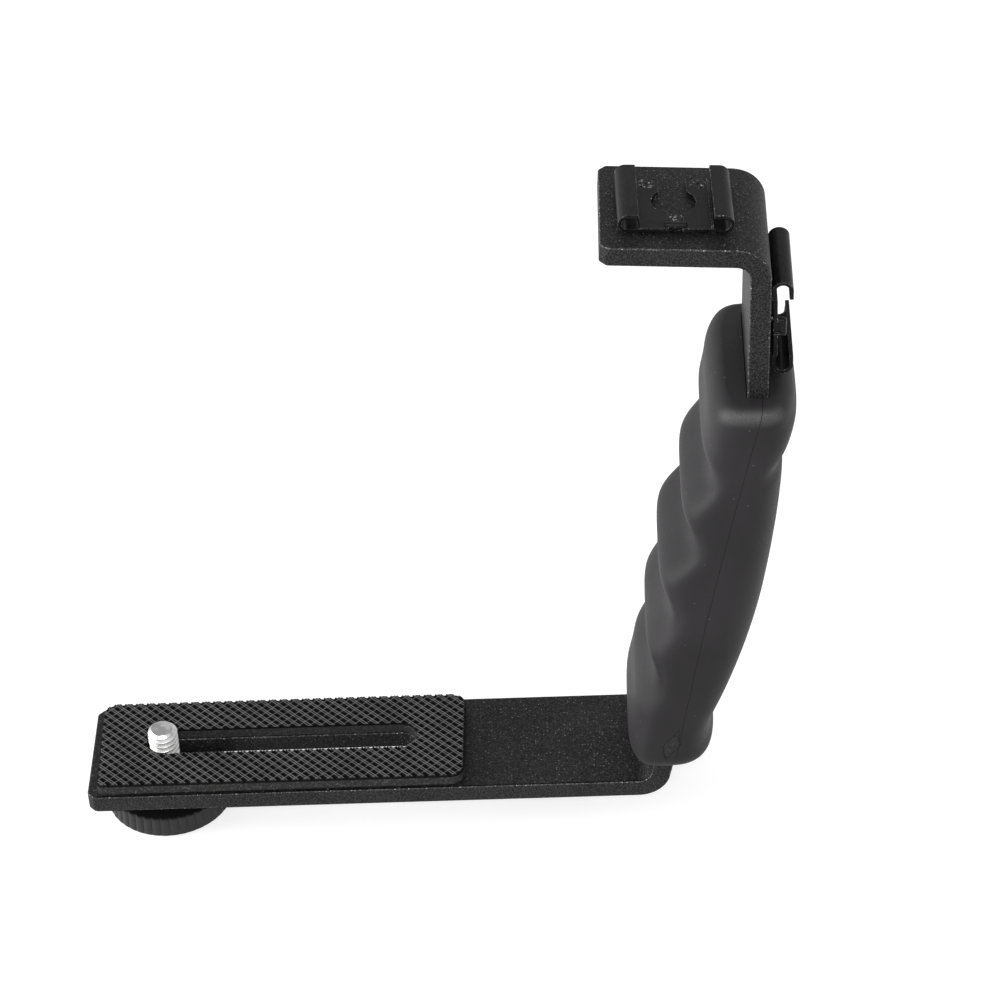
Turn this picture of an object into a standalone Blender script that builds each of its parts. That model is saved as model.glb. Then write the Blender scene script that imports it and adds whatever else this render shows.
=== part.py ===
"""Camera flash bracket: a flat bar bent into an upright frame, modelled in metres with +Z up.

The bar lies along +X from its free end, rises into a leaning handle and turns back over the base, where it
ends in a small platform. A rubber pad with a slot covers the free end and takes the camera, which a thumb
screw below the bar holds. A moulded grip surrounds the handle, and pressed shoes for accessories sit on the
platform and on the outer side of the neck. The origin is at the middle of the footprint, level with the
bottom of the thumb screw's knob.
"""

import math

import bmesh
import bpy
from mathutils import Matrix, Vector

MM = 0.001

# Bent flat bar
BAR_WIDTH = 27.1 * MM
BAR_THICKNESS = 4.0 * MM
BASE_LENGTH = 119.6 * MM
HANDLE_LENGTH = 101.3 * MM
NECK_LENGTH = 35.8 * MM
PLATFORM_LENGTH = 30.1 * MM
HANDLE_LEAN = math.radians(12.2)
NECK_LEAN = math.radians(1.5)
PLATFORM_TILT = math.radians(3.9)
BEND_RADIUS = 2.8 * MM
KINK_RADIUS = 16.0 * MM
END_CHAMFER = 1.4 * MM
EDGE_BREAK = 0.25 * MM
BEND_STEP = math.radians(9.0)

# Slot for the thumb screw
SLOT_START = 12.0 * MM
SLOT_WIDTH = 7.0 * MM

# Camera pad
PAD_START = 1.6 * MM
PAD_LENGTH = 77.9 * MM
PAD_WIDTH = 25.7 * MM
PAD_THICKNESS = 2.6 * MM
PAD_FORWARD = 0.3 * MM
PAD_BEYOND_SLOT = 10.35 * MM
PAD_CORNER_RADIUS = 3.0 * MM
PAD_TIGHT_CORNER_RADIUS = 1.2 * MM
PAD_END_SKEW = 0.7 * MM
PAD_SLOT_MARGIN = 0.1 * MM
PAD_EDGE_SLOPE = 0.45 * MM

# Net of ridges on the pad: its repeats along and across the bar, and where its crossings start
NET_REPEAT_ALONG = 2.38 * MM
NET_REPEAT_ACROSS = 2.28 * MM
NET_START_ALONG = 0.75 * MM
NET_START_ACROSS = 0.57 * MM
NET_RIDGE_WIDTH = 0.3 * MM
NET_PIT_DEPTH = 0.45 * MM
NET_SPARE_CELLS = 2

# Moulded grip
GRIP_BOTTOM = 10.5 * MM
NECK_SHOWN = 32.2 * MM
GRIP_DEPTH = 36.8 * MM
PALM_THICKNESS = 11.85 * MM
FINGER_THICKNESS = 10.85 * MM
GROOVE_DEPTH = 3.2 * MM
GROOVE_WIDTH = 18.0 * MM
GRIP_BOTTOM_ROUNDING = 4.5 * MM
GRIP_RIM_ROUNDING = 2.0 * MM
PALM_TOP_HEIGHT = 7.0 * MM
PALM_TOP_INSET = 5.0 * MM
FINGER_TOP_HEIGHT = 5.5 * MM
FINGER_TOP_INSET = 3.2 * MM
PALM_ROUNDNESS = 2.85
FINGER_ROUNDNESS = 3.75
GRIP_RING_POINTS = 44
GRIP_BODY_RINGS = 32
GRIP_BOTTOM_RINGS = 4
GRIP_TOP_RINGS = 6

# Accessory shoes, pressed from sheet
SHOE_LENGTH = 16.6 * MM
SHOE_SHEET = 0.8 * MM
SHOE_HEIGHT = 4.1 * MM
SHOE_LIP_GAP = 14.0 * MM
SHOE_PLATEAU_WIDTH = 13.4 * MM
SHOE_PLATEAU_RISE = 0.3 * MM
SHOE_ROLL_STEPS = 12
SHOE_FORWARD = 0.5 * MM
TOP_SHOE_WIDTH = 21.8 * MM
TOP_SHOE_FROM_END = 14.0 * MM
TOP_SHOE_TWIST = math.radians(1.5)
SIDE_SHOE_WIDTH = 22.6 * MM
SIDE_SHOE_DROP = 18.9 * MM
SIDE_SHOE_TWIST = math.radians(3.8)
SIDE_SHOE_TILT = math.radians(1.4)
KEYHOLE_RADIUS = 4.2 * MM
KEYHOLE_NECK = 5.2 * MM
KEYHOLE_SETBACK = 0.55 * MM
STOP_WIDTH = 4.4 * MM
STOP_RISE = 1.7 * MM
STOP_DEPTH = 1.3 * MM
STOP_CORNER = 0.7 * MM
STOP_CORNER_STEPS = 3

# Countersunk screws that hold the shoes
SHOE_SCREW_HEAD_RADIUS = 1.4 * MM
SHOE_SCREW_HEAD_HEIGHT = 0.7 * MM
SHOE_SCREW_SHANK_RADIUS = 0.95 * MM
SHOE_SCREW_BITE = 2.6 * MM
SHOE_SCREW_SPREAD = 4.85 * MM
SHOE_SCREW_REAR_EDGE = 2.0 * MM
SHOE_SCREW_FRONT_EDGE = 3.2 * MM
SHOE_SCREW_STEPS = 20

# Thumb screw
STUD_RADIUS = 3.175 * MM
STUD_ABOVE_PAD = 3.8 * MM
STUD_TIP_CHAMFER = 0.9 * MM
STUD_HEAD_RADIUS = 6.0 * MM
STUD_HEAD_HEIGHT = 3.2 * MM
STUD_HEAD_SIDES = 6
STUD_STEPS = 40
KNOB_RADIUS = 13.5 * MM
KNOB_RIM_HEIGHT = 5.0 * MM
KNOB_RIM_CHAMFER = 0.5 * MM
KNOB_FLUTES = 44
KNOB_FLUTE_DEPTH = 0.45 * MM
KNOB_FLUTE_POINTS = 3
KNOB_BOSS_RADIUS = 7.5 * MM
KNOB_BOSS_HEIGHT = 1.7 * MM
KNOB_BOTTOM_RECESS = 0.8 * MM
KNOB_RECESS_RADIUS = 10.0 * MM
WASHER_RADIUS = 7.0 * MM
WASHER_THICKNESS = 0.8 * MM
TURNED_STEPS = 48

# Clearances and working allowances
CONTACT_GAP = 0.3 * MM
OVERRUN = 1.0 * MM
WELD_DISTANCE = 0.01 * MM
SLOT_END_STEPS = 12
CORNER_STEPS = 6
EDGE_STEPS = 2
EDGE_ANGLE = math.radians(40.0)
SMOOTH_ANGLE = math.radians(35.0)

# Height along the grip and thickness there, both as shares of the grip's height and side thickness
PALM_PROFILE_SHARES = (
    (0.00, 1.05),
    (0.04, 0.796),
    (0.08, 0.721),
    (0.12, 0.728),
    (0.18, 0.828),
    (0.25, 0.915),
    (0.33, 0.976),
    (0.42, 1.00),
    (0.52, 0.974),
    (0.63, 0.910),
    (0.71, 0.841),
    (0.78, 0.753),
    (0.82, 0.649),
    (0.86, 0.744),
    (0.91, 0.756),
    (0.95, 0.69),
    (1.00, 0.69),
)
FINGER_PROFILE_SHARES = (
    (0.00, 0.689),
    (0.06, 0.803),
    (0.12, 0.808),
    (0.20, 0.841),
    (0.36, 0.936),
    (0.54, 1.00),
    (0.73, 0.881),
    (0.89, 0.829),
    (1.00, 0.90),
)

# Finger grooves from the lowest up: height as a share of the grip's, depth and width as shares of the sizes above
GROOVE_SHARES = (
    (0.244, 0.756, 0.992),
    (0.422, 0.992, 1.13),
    (0.617, 1.28, 0.986),
    (0.794, 0.959, 0.889),
)

# Sizes that follow from the ones above
SLOT_END = PAD_START + PAD_LENGTH - PAD_BEYOND_SLOT
SLOT_TRAVEL = SLOT_END - SLOT_START - SLOT_WIDTH
SCREW_AXIS = SLOT_START + SLOT_WIDTH / 2
PAD_TOP = BAR_THICKNESS + CONTACT_GAP + PAD_THICKNESS
KNOB_TOP = -(CONTACT_GAP + WASHER_THICKNESS + CONTACT_GAP)
KNOB_RIM_TOP = KNOB_TOP - KNOB_BOSS_HEIGHT
KNOB_BOTTOM = KNOB_RIM_TOP - KNOB_RIM_HEIGHT
STUD_TOP = PAD_TOP + STUD_ABOVE_PAD
PLATFORM_CORNER_RISE = HANDLE_LENGTH * math.cos(HANDLE_LEAN) + NECK_LENGTH * math.cos(NECK_LEAN)
GRIP_TOP = BAR_THICKNESS / 2 + PLATFORM_CORNER_RISE - NECK_SHOWN
GRIP_HEIGHT = GRIP_TOP - GRIP_BOTTOM
SHOE_FLOOR_TOP = SHOE_SHEET + SHOE_PLATEAU_RISE


class Run:
    """One straight or evenly curved stretch of the bar's middle plane, seen from the side."""

    def __init__(self, start, heading, length, curvature=0.0):
        self.start = start
        self.heading = heading
        self.length = length
        self.curvature = curvature

    def at(self, distance):
        """Point and heading at a distance along the stretch."""
        heading = self.heading + self.curvature * distance
        if not self.curvature:
            return self.start + distance * along(heading), heading
        centre = self.start + across(self.heading) / self.curvature
        return centre - across(heading) / self.curvature, heading


def along(heading):
    """Unit vector that points along a heading in the side view."""
    return Vector((math.cos(heading), math.sin(heading)))


def across(heading):
    """Unit vector to the left of a heading, which is the inner side of the bends."""
    return Vector((-math.sin(heading), math.cos(heading)))


def bar_runs():
    """The bar's stretches in order from its free end: base, handle, neck and platform, with their bends."""
    upright = math.pi / 2
    headings = (0.0, upright - HANDLE_LEAN, upright - NECK_LEAN, math.pi - PLATFORM_TILT)
    lengths = (BASE_LENGTH, HANDLE_LENGTH, NECK_LENGTH, PLATFORM_LENGTH)
    bend = BEND_RADIUS + BAR_THICKNESS / 2
    radii = (bend, KINK_RADIUS, bend)
    turns = [after - before for before, after in zip(headings, headings[1:])]
    setbacks = [0.0, *(radius * math.tan(turn / 2) for radius, turn in zip(radii, turns)), 0.0]
    runs = []
    point = Vector((0.0, BAR_THICKNESS / 2))
    for index, heading in enumerate(headings):
        straight = lengths[index] - setbacks[index] - setbacks[index + 1]
        runs.append(Run(point, heading, straight))
        point, heading = runs[-1].at(straight)
        if index < len(turns):
            runs.append(Run(point, heading, radii[index] * turns[index], 1 / radii[index]))
            point, heading = runs[-1].at(runs[-1].length)
    return runs


BAR_RUNS = bar_runs()
BASE_RUN, BASE_BEND, HANDLE_RUN, KINK, NECK_RUN, TOP_BEND, PLATFORM_RUN = BAR_RUNS
BAR_LENGTH = sum(run.length for run in BAR_RUNS)
HANDLE_START = BASE_RUN.length + BASE_BEND.length
NECK_START = HANDLE_START + HANDLE_RUN.length + KINK.length
PLATFORM_START = NECK_START + NECK_RUN.length + TOP_BEND.length


def bar_point(distance):
    """Middle-plane point and heading at a distance along the bar."""
    for run in BAR_RUNS[:-1]:
        if distance <= run.length:
            return run.at(distance)
        distance -= run.length
    return BAR_RUNS[-1].at(distance)


def bend_stations():
    """Distances along the flat bar where it is creased finely enough to follow its bends."""
    stations = []
    start = 0.0
    for run in BAR_RUNS:
        if run.curvature:
            steps = max(1, round(run.length * run.curvature / BEND_STEP))
            stations += [start + run.length * step / steps for step in range(steps + 1)]
        start += run.length
    return stations


def arc(centre, radius, start, end, steps):
    """Points on an arc, both ends included."""
    angles = [start + (end - start) * step / steps for step in range(steps + 1)]
    return [(centre[0] + radius * math.cos(a), centre[1] + radius * math.sin(a)) for a in angles]


def slot_outline(start, end, radius):
    """Round-ended slot along X between the centres of its ends."""
    quarter = math.pi / 2
    right = arc((end, 0.0), radius, -quarter, quarter, SLOT_END_STEPS)
    left = arc((start, 0.0), radius, quarter, 3 * quarter, SLOT_END_STEPS)
    return right + left


def rounded_rectangle(low, high, radii):
    """Rectangle between two corners with a radius for each of its own, counterclockwise from the right front."""
    quarter = math.pi / 2
    corners = ((high[0], low[1]), (high[0], high[1]), (low[0], high[1]), (low[0], low[1]))
    inwards = ((-1, 1), (-1, -1), (1, -1), (1, 1))
    points = []
    for turn, (corner, (right, rear), radius) in enumerate(zip(corners, inwards, radii), -1):
        centre = (corner[0] + right * radius, corner[1] + rear * radius)
        points += arc(centre, radius, turn * quarter, (turn + 1) * quarter, CORNER_STEPS)
    return points


def mesh_object(name, mesh, collection):
    """A linked object for a mesh."""
    made = bpy.data.objects.new(name, mesh)
    collection.objects.link(made)
    return made


def evaluated_mesh(source):
    """A welded copy of an object's shape with its modifiers and curve fill applied."""
    bpy.context.view_layer.update()
    depsgraph = bpy.context.evaluated_depsgraph_get()
    mesh = bpy.data.meshes.new_from_object(source.evaluated_get(depsgraph))
    shape = bmesh.new()
    shape.from_mesh(mesh)
    bmesh.ops.remove_doubles(shape, verts=shape.verts, dist=WELD_DISTANCE)
    shape.to_mesh(mesh)
    shape.free()
    return mesh


def baked(source, collection):
    """Replaces an object by a plain mesh object of the same name, shape and place."""
    name = source.name
    mesh = evaluated_mesh(source)
    place = source.matrix_world.copy()
    bpy.data.objects.remove(source)
    made = mesh_object(name, mesh, collection)
    made.matrix_world = place
    return made


def flat_solid(name, loops, half_thickness, collection):
    """Extrudes flat closed outlines, of which the inner ones are holes, to both sides of their plane."""
    curve = bpy.data.curves.new(name, "CURVE")
    curve.dimensions = "2D"
    curve.fill_mode = "BOTH"
    curve.extrude = half_thickness
    for loop in loops:
        spline = curve.splines.new("POLY")
        spline.points.add(len(loop) - 1)
        for point, (x, y) in zip(spline.points, loop):
            point.co = (x, y, 0.0, 1.0)
        spline.use_cyclic_u = True
    return baked(mesh_object(name, curve, collection), collection)


def turned_solid(name, profile, steps, collection):
    """Turns a profile, given as radius and height from top to bottom, about Z."""
    mesh = bpy.data.meshes.new(name)
    edges = [(index, index + 1) for index in range(len(profile) - 1)]
    mesh.from_pydata([(radius, 0.0, height) for radius, height in profile], edges, [])
    made = mesh_object(name, mesh, collection)
    screw = made.modifiers.new("turn", "SCREW")
    screw.steps = steps
    screw.render_steps = steps
    screw.use_merge_vertices = True
    screw.merge_threshold = WELD_DISTANCE
    return baked(made, collection)


def lofted_solid(name, rings, collection):
    """Joins closed rings of equally many points and closes the first and last with flat faces."""
    shape = bmesh.new()
    loops = [[shape.verts.new(point) for point in ring] for ring in rings]
    count = len(loops[0])
    for lower, upper in zip(loops, loops[1:]):
        for index in range(count):
            following = (index + 1) % count
            shape.faces.new((lower[index], lower[following], upper[following], upper[index]))
    shape.faces.new(reversed(loops[0]))
    shape.faces.new(loops[-1])
    bmesh.ops.recalc_face_normals(shape, faces=shape.faces)
    mesh = bpy.data.meshes.new(name)
    shape.to_mesh(mesh)
    shape.free()
    return mesh_object(name, mesh, collection)


def box_solid(name, low, high, collection):
    """Box between two opposite corners."""
    centre = (Vector(low) + Vector(high)) / 2
    size = Vector(high) - Vector(low)
    shape = bmesh.new()
    bmesh.ops.create_cube(shape, size=1.0, matrix=Matrix.Translation(centre) @ Matrix.Diagonal((*size, 1.0)))
    mesh = bpy.data.meshes.new(name)
    shape.to_mesh(mesh)
    shape.free()
    return mesh_object(name, mesh, collection)


def combine(target, other, operation):
    """Adds an exact Boolean with another object, which becomes a hidden wire guide."""
    modifier = target.modifiers.new(operation.lower(), "BOOLEAN")
    modifier.operation = operation
    modifier.solver = "EXACT"
    modifier.object = other
    other.hide_render = True
    other.display_type = "WIRE"


def round_edges(target, width, segments, angle):
    """Adds a Bevel to the edges that are sharper than an angle."""
    modifier = target.modifiers.new("edges", "BEVEL")
    modifier.width = width
    modifier.segments = segments
    modifier.limit_method = "ANGLE"
    modifier.angle_limit = angle


def finish(made, material, smooth=True):
    """Gives a piece its material and shading."""
    made.data.materials.clear()
    made.data.materials.append(material)
    if smooth:
        made.data.shade_smooth()
        made.data.set_sharp_from_angle(angle=SMOOTH_ANGLE)
    return made


def painted(name, colour, roughness, metallic):
    """A Principled material."""
    material = bpy.data.materials.new(name)
    material.use_nodes = True
    shader = material.node_tree.nodes["Principled BSDF"]
    shader.inputs["Base Color"].default_value = (*colour, 1.0)
    shader.inputs["Roughness"].default_value = roughness
    shader.inputs["Metallic"].default_value = metallic
    return material


def bend_with_bar(made):
    """Creases a flat blank at the bend stations and wraps it round the bar's path."""
    shape = bmesh.new()
    shape.from_mesh(made.data)
    for station in bend_stations():
        geometry = [*shape.verts, *shape.edges, *shape.faces]
        bmesh.ops.bisect_plane(
            shape, geom=geometry, plane_co=(station, 0.0, 0.0), plane_no=(1.0, 0.0, 0.0), dist=WELD_DISTANCE
        )
    for vertex in shape.verts:
        point, heading = bar_point(vertex.co.x)
        point = point + vertex.co.z * across(heading)
        vertex.co = (point.x, vertex.co.y, point.y)
    shape.to_mesh(made.data)
    shape.free()


def shoe_screw_places():
    """Screw centres on a shoe, from its middle: two at the rear and one behind the stop."""
    rear = -SHOE_LENGTH / 2 + SHOE_SCREW_REAR_EDGE
    front = SHOE_LENGTH / 2 - SHOE_SCREW_FRONT_EDGE
    return {
        "rear_left": (SHOE_SCREW_SPREAD, rear),
        "rear_right": (-SHOE_SCREW_SPREAD, rear),
        "front": (0.0, front),
    }


def shoe_seats():
    """Distance along the bar to the middle of each shoe and its twist on the bar."""
    half_turn = TOP_BEND.length * TOP_BEND.curvature / 2
    corner = NECK_START + NECK_RUN.length + math.tan(half_turn) / TOP_BEND.curvature
    return {
        "top": (BAR_LENGTH - TOP_SHOE_FROM_END, TOP_SHOE_TWIST),
        "side": (corner - SIDE_SHOE_DROP, SIDE_SHOE_TWIST),
    }


def shoe_stance(width, tilt):
    """Place of a shoe above its frame: a small gap off the bar, tilted about its upper rolled edge."""
    edge = Matrix.Translation((width / 2, 0.0, CONTACT_GAP))
    return edge @ Matrix.Rotation(tilt, 4, "Y") @ Matrix.Translation((-width / 2, 0.0, 0.0))


def shoe_frame(station, twist):
    """Frame of a shoe on the bar's outer face: X about along the bar, Y about to the front, Z outwards."""
    point, heading = bar_point(station)
    face = point - across(heading) * BAR_THICKNESS / 2
    outward = -across(heading)
    lengthwise = along(heading)
    x_axis = Vector((lengthwise.x, 0.0, lengthwise.y))
    z_axis = Vector((outward.x, 0.0, outward.y))
    y_axis = z_axis.cross(x_axis)
    axes = Matrix((x_axis, y_axis, z_axis)).transposed().to_4x4()
    turned = axes @ Matrix.Rotation(twist, 4, "Z")
    return Matrix.Translation((face.x, -SHOE_FORWARD, face.y)) @ turned


def make_bar(parts, guides, material):
    """Flat blank with chamfered ends, the screw slot and the shoes' tapped holes, bent to shape."""
    half = BAR_WIDTH / 2
    outline = [
        (0.0, half - END_CHAMFER),
        (0.0, END_CHAMFER - half),
        (END_CHAMFER, -half),
        (BAR_LENGTH - END_CHAMFER, -half),
        (BAR_LENGTH, END_CHAMFER - half),
        (BAR_LENGTH, half - END_CHAMFER),
        (BAR_LENGTH - END_CHAMFER, half),
        (END_CHAMFER, half),
    ]
    slot = slot_outline(SCREW_AXIS, SCREW_AXIS + SLOT_TRAVEL, SLOT_WIDTH / 2)
    bar = flat_solid("bracket_bar", [outline, slot], BAR_THICKNESS / 2, parts)
    round_edges(bar, EDGE_BREAK, EDGE_STEPS, EDGE_ANGLE)
    hole_radius = SHOE_SCREW_SHANK_RADIUS + CONTACT_GAP
    floor = -BAR_THICKNESS / 2 + SHOE_SCREW_BITE + CONTACT_GAP
    mouth = -BAR_THICKNESS / 2 - OVERRUN
    for shoe_name, (station, twist) in shoe_seats().items():
        for place_name, place in shoe_screw_places().items():
            x, y = Matrix.Rotation(twist, 2) @ Vector(place)
            drill = turned_solid(
                f"drill_{shoe_name}_{place_name}",
                [(0.0, floor), (hole_radius, floor), (hole_radius, mouth), (0.0, mouth)],
                SHOE_SCREW_STEPS,
                guides,
            )
            drill.location = (station + x, -SHOE_FORWARD - y, 0.0)
            combine(bar, drill, "DIFFERENCE")
    bar = baked(bar, parts)
    bend_with_bar(bar)
    return finish(bar, material)


def net_block(name, collection):
    """Block under a net of slanting ridges round four-sided pits. The ridges that run one way have flat tops."""
    along_step = NET_REPEAT_ALONG / 2
    across_step = NET_REPEAT_ACROSS / 2
    rows = math.ceil((PAD_LENGTH / along_step + PAD_WIDTH / across_step) / 2) + NET_SPARE_CELLS
    cell_width = 2 * along_step * across_step / math.hypot(along_step, across_step)
    edge = NET_RIDGE_WIDTH / cell_width / 2
    columns = round((PAD_LENGTH / 2 - NET_START_ALONG) / NET_REPEAT_ALONG)
    middle = PAD_START + NET_START_ALONG + columns * NET_REPEAT_ALONG
    shape = bmesh.new()
    bmesh.ops.create_grid(shape, x_segments=2 * rows, y_segments=rows, size=1.0)
    pits = [face for face in shape.faces if math.floor((face.calc_center_median().x + 1) * rows) % 2 == 0]
    for vertex in shape.verts:
        column = round((vertex.co.x + 1) * rows)
        a = column // 2 + (1 - edge if column % 2 else edge) - rows / 2
        b = -vertex.co.y * rows / 2
        x = middle + (a + b) * along_step
        y = NET_START_ACROSS - PAD_FORWARD + (a - b) * across_step
        vertex.co = (x, y, PAD_TOP)
    shape.normal_update()
    bmesh.ops.poke(shape, faces=pits, offset=-NET_PIT_DEPTH)
    border = [edge for edge in shape.edges if edge.is_boundary]
    lowered = bmesh.ops.extrude_edge_only(shape, edges=border)["geom"]
    for element in lowered:
        if isinstance(element, bmesh.types.BMVert):
            element.co.z = PAD_TOP - PAD_THICKNESS - OVERRUN
    bmesh.ops.contextual_create(shape, geom=[item for item in lowered if isinstance(item, bmesh.types.BMEdge)])
    bmesh.ops.recalc_face_normals(shape, faces=shape.faces)
    mesh = bpy.data.meshes.new(name)
    shape.to_mesh(mesh)
    shape.free()
    return mesh_object(name, mesh, collection)


def pad_ring(inset, height):
    """Level ring round the pad at a distance inside its edge, with the slightly skewed free end."""
    half = PAD_WIDTH / 2 - inset
    low = (PAD_START + inset, -half)
    high = (PAD_START + PAD_LENGTH - inset, half)
    wide = PAD_CORNER_RADIUS - inset
    ring = []
    for x, y in rounded_rectangle(low, high, (wide, wide, wide, PAD_TIGHT_CORNER_RADIUS - inset)):
        skew = PAD_END_SKEW * (half - y) / (2 * half) if x < SLOT_START else 0.0
        ring.append((x + skew, y - PAD_FORWARD, height))
    return ring


def make_pad(parts, guides, material):
    """Rubber pad with sloping edges, a net of ridges on top and a round-ended slot."""
    pad = net_block("camera_pad", parts)
    bottom = PAD_TOP - PAD_THICKNESS
    above = PAD_EDGE_SLOPE / 2
    rings = [
        pad_ring(0.0, bottom),
        pad_ring(0.0, PAD_TOP - PAD_EDGE_SLOPE),
        pad_ring(PAD_EDGE_SLOPE + above, PAD_TOP + above),
    ]
    combine(pad, lofted_solid("pad_blank", rings, guides), "INTERSECT")
    radius = SLOT_WIDTH / 2 + PAD_SLOT_MARGIN
    slot = slot_outline(SCREW_AXIS, SCREW_AXIS + SLOT_TRAVEL, radius)
    cutter = flat_solid("pad_slot", [slot], PAD_THICKNESS / 2 + OVERRUN, guides)
    cutter.location = (0.0, 0.0, PAD_TOP - PAD_THICKNESS / 2)
    combine(pad, cutter, "DIFFERENCE")
    return finish(baked(pad, parts), material)


def eased(stations, share):
    """Value at a height share on a smooth curve through hand-set stations."""
    last = len(stations) - 1
    index = 0
    while index < last - 1 and share > stations[index + 1][0]:
        index += 1
    (x0, y0), (x1, y1) = stations[index], stations[index + 1]
    before = stations[max(index - 1, 0)]
    after = stations[min(index + 2, last)]
    slope0 = (y1 - before[1]) / (x1 - before[0])
    slope1 = (after[1] - y0) / (after[0] - x0)
    width = x1 - x0
    t = min(max((share - x0) / width, 0.0), 1.0)
    return (
        (2 * t**3 - 3 * t**2 + 1) * y0
        + (t**3 - 2 * t**2 + t) * width * slope0
        + (3 * t**2 - 2 * t**3) * y1
        + (t**3 - t**2) * width * slope1
    )


def finger_thickness(height):
    """Distance from the bar's middle plane to the grip's finger side, with the grooves taken out."""
    share = (height - GRIP_BOTTOM) / GRIP_HEIGHT
    thickness = FINGER_THICKNESS * eased(FINGER_PROFILE_SHARES, share)
    for height_share, depth_share, width_share in GROOVE_SHARES:
        distance = abs(height - GRIP_BOTTOM - height_share * GRIP_HEIGHT)
        reach = distance / (GROOVE_WIDTH * width_share / 2)
        if reach < 1:
            thickness -= GROOVE_DEPTH * depth_share * (1 + math.cos(math.pi * reach)) / 2
    return thickness


def palm_thickness(height):
    """Distance from the bar's middle plane to the grip's palm side."""
    return PALM_THICKNESS * eased(PALM_PROFILE_SHARES, (height - GRIP_BOTTOM) / GRIP_HEIGHT)


def rounded_half(angle, reach, depth, roundness):
    """Point of a rounded-off ellipse at an angle."""
    x = math.copysign(abs(math.cos(angle)) ** (2 / roundness), math.cos(angle)) * reach
    y = math.copysign(abs(math.sin(angle)) ** (2 / roundness), math.sin(angle)) * depth
    return x, y


def drawn_in(height, end, span, inset):
    """How far an end that is rounded over a span draws a side of the grip in at a height."""
    reach = min(max(1 - abs(end - height) / span, 0.0), 1.0)
    return inset * (1 - math.sqrt(1 - reach**2))


def grip_levels():
    """Heights of the grip's rings, closer together at the rounded ends."""
    quarter = math.pi / 2
    low = GRIP_BOTTOM + GRIP_BOTTOM_ROUNDING
    high = GRIP_TOP - PALM_TOP_HEIGHT
    bottom = [low - GRIP_BOTTOM_ROUNDING * math.cos(quarter * n / GRIP_BOTTOM_RINGS) for n in range(GRIP_BOTTOM_RINGS)]
    body = [low + (high - low) * n / GRIP_BODY_RINGS for n in range(GRIP_BODY_RINGS)]
    top = [high + PALM_TOP_HEIGHT * math.sin(quarter * n / GRIP_TOP_RINGS) for n in range(GRIP_TOP_RINGS + 1)]
    return bottom + body + top


def handle_middle(height):
    """X of the leaning handle's middle plane at a height, carried on in a straight line past the kink."""
    return HANDLE_RUN.start.x + (height - HANDLE_RUN.start.y) * math.tan(HANDLE_LEAN)


def grip_ring(height):
    """One level ring of the grip."""
    middle = handle_middle(height)
    foot = drawn_in(height, GRIP_BOTTOM, GRIP_BOTTOM_ROUNDING, GRIP_BOTTOM_ROUNDING)
    depth = GRIP_DEPTH / 2 - foot - drawn_in(height, GRIP_TOP, GRIP_RIM_ROUNDING, GRIP_RIM_ROUNDING)
    palm = palm_thickness(height) - foot - drawn_in(height, GRIP_TOP, PALM_TOP_HEIGHT, PALM_TOP_INSET)
    finger = finger_thickness(height) - foot - drawn_in(height, GRIP_TOP, FINGER_TOP_HEIGHT, FINGER_TOP_INSET)
    ring = []
    for step in range(GRIP_RING_POINTS):
        angle = 2 * math.pi * step / GRIP_RING_POINTS
        outwards = math.cos(angle) > 0
        reach = palm if outwards else finger
        roundness = PALM_ROUNDNESS if outwards else FINGER_ROUNDNESS
        x, y = rounded_half(angle, reach, depth, roundness)
        ring.append((middle + x, y, height))
    return ring


def make_grip(parts, guides, material):
    """Moulded grip with finger grooves and a palm swell, open where the bar passes through it."""
    grip = lofted_solid("grip", [grip_ring(height) for height in grip_levels()], parts)
    start = HANDLE_START
    end = NECK_START + NECK_RUN.length / 2
    passage = flat_solid(
        "grip_passage",
        [
            [
                (start, -BAR_WIDTH / 2 - CONTACT_GAP),
                (end, -BAR_WIDTH / 2 - CONTACT_GAP),
                (end, BAR_WIDTH / 2 + CONTACT_GAP),
                (start, BAR_WIDTH / 2 + CONTACT_GAP),
            ]
        ],
        BAR_THICKNESS / 2 + CONTACT_GAP,
        guides,
    )
    bend_with_bar(passage)
    combine(grip, passage, "DIFFERENCE")
    return finish(baked(grip, parts), material)


def shoe_profile(width):
    """Outline of the pressed sheet across the shoe: raised floor, level channels and rolled lips."""
    half_width = width / 2
    roll = SHOE_HEIGHT / 2
    centre = (half_width - roll, roll)
    step_in = SHOE_PLATEAU_WIDTH / 2
    step_out = step_in + SHOE_PLATEAU_RISE
    quarter = math.pi / 2
    outer = arc(centre, roll, -quarter, quarter, SHOE_ROLL_STEPS)
    inner = arc(centre, roll - SHOE_SHEET, quarter, -quarter, SHOE_ROLL_STEPS)
    lip_end = SHOE_LIP_GAP / 2
    under = [(step_in, SHOE_PLATEAU_RISE), (step_out, 0.0)]
    lip = [(lip_end, SHOE_HEIGHT), (lip_end, SHOE_HEIGHT - SHOE_SHEET)]
    over = [(step_out, SHOE_SHEET), (step_in, SHOE_FLOOR_TOP)]
    right = under + outer + lip + inner + over
    left = [(-x, z) for x, z in reversed(right)]
    return right + left


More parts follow.
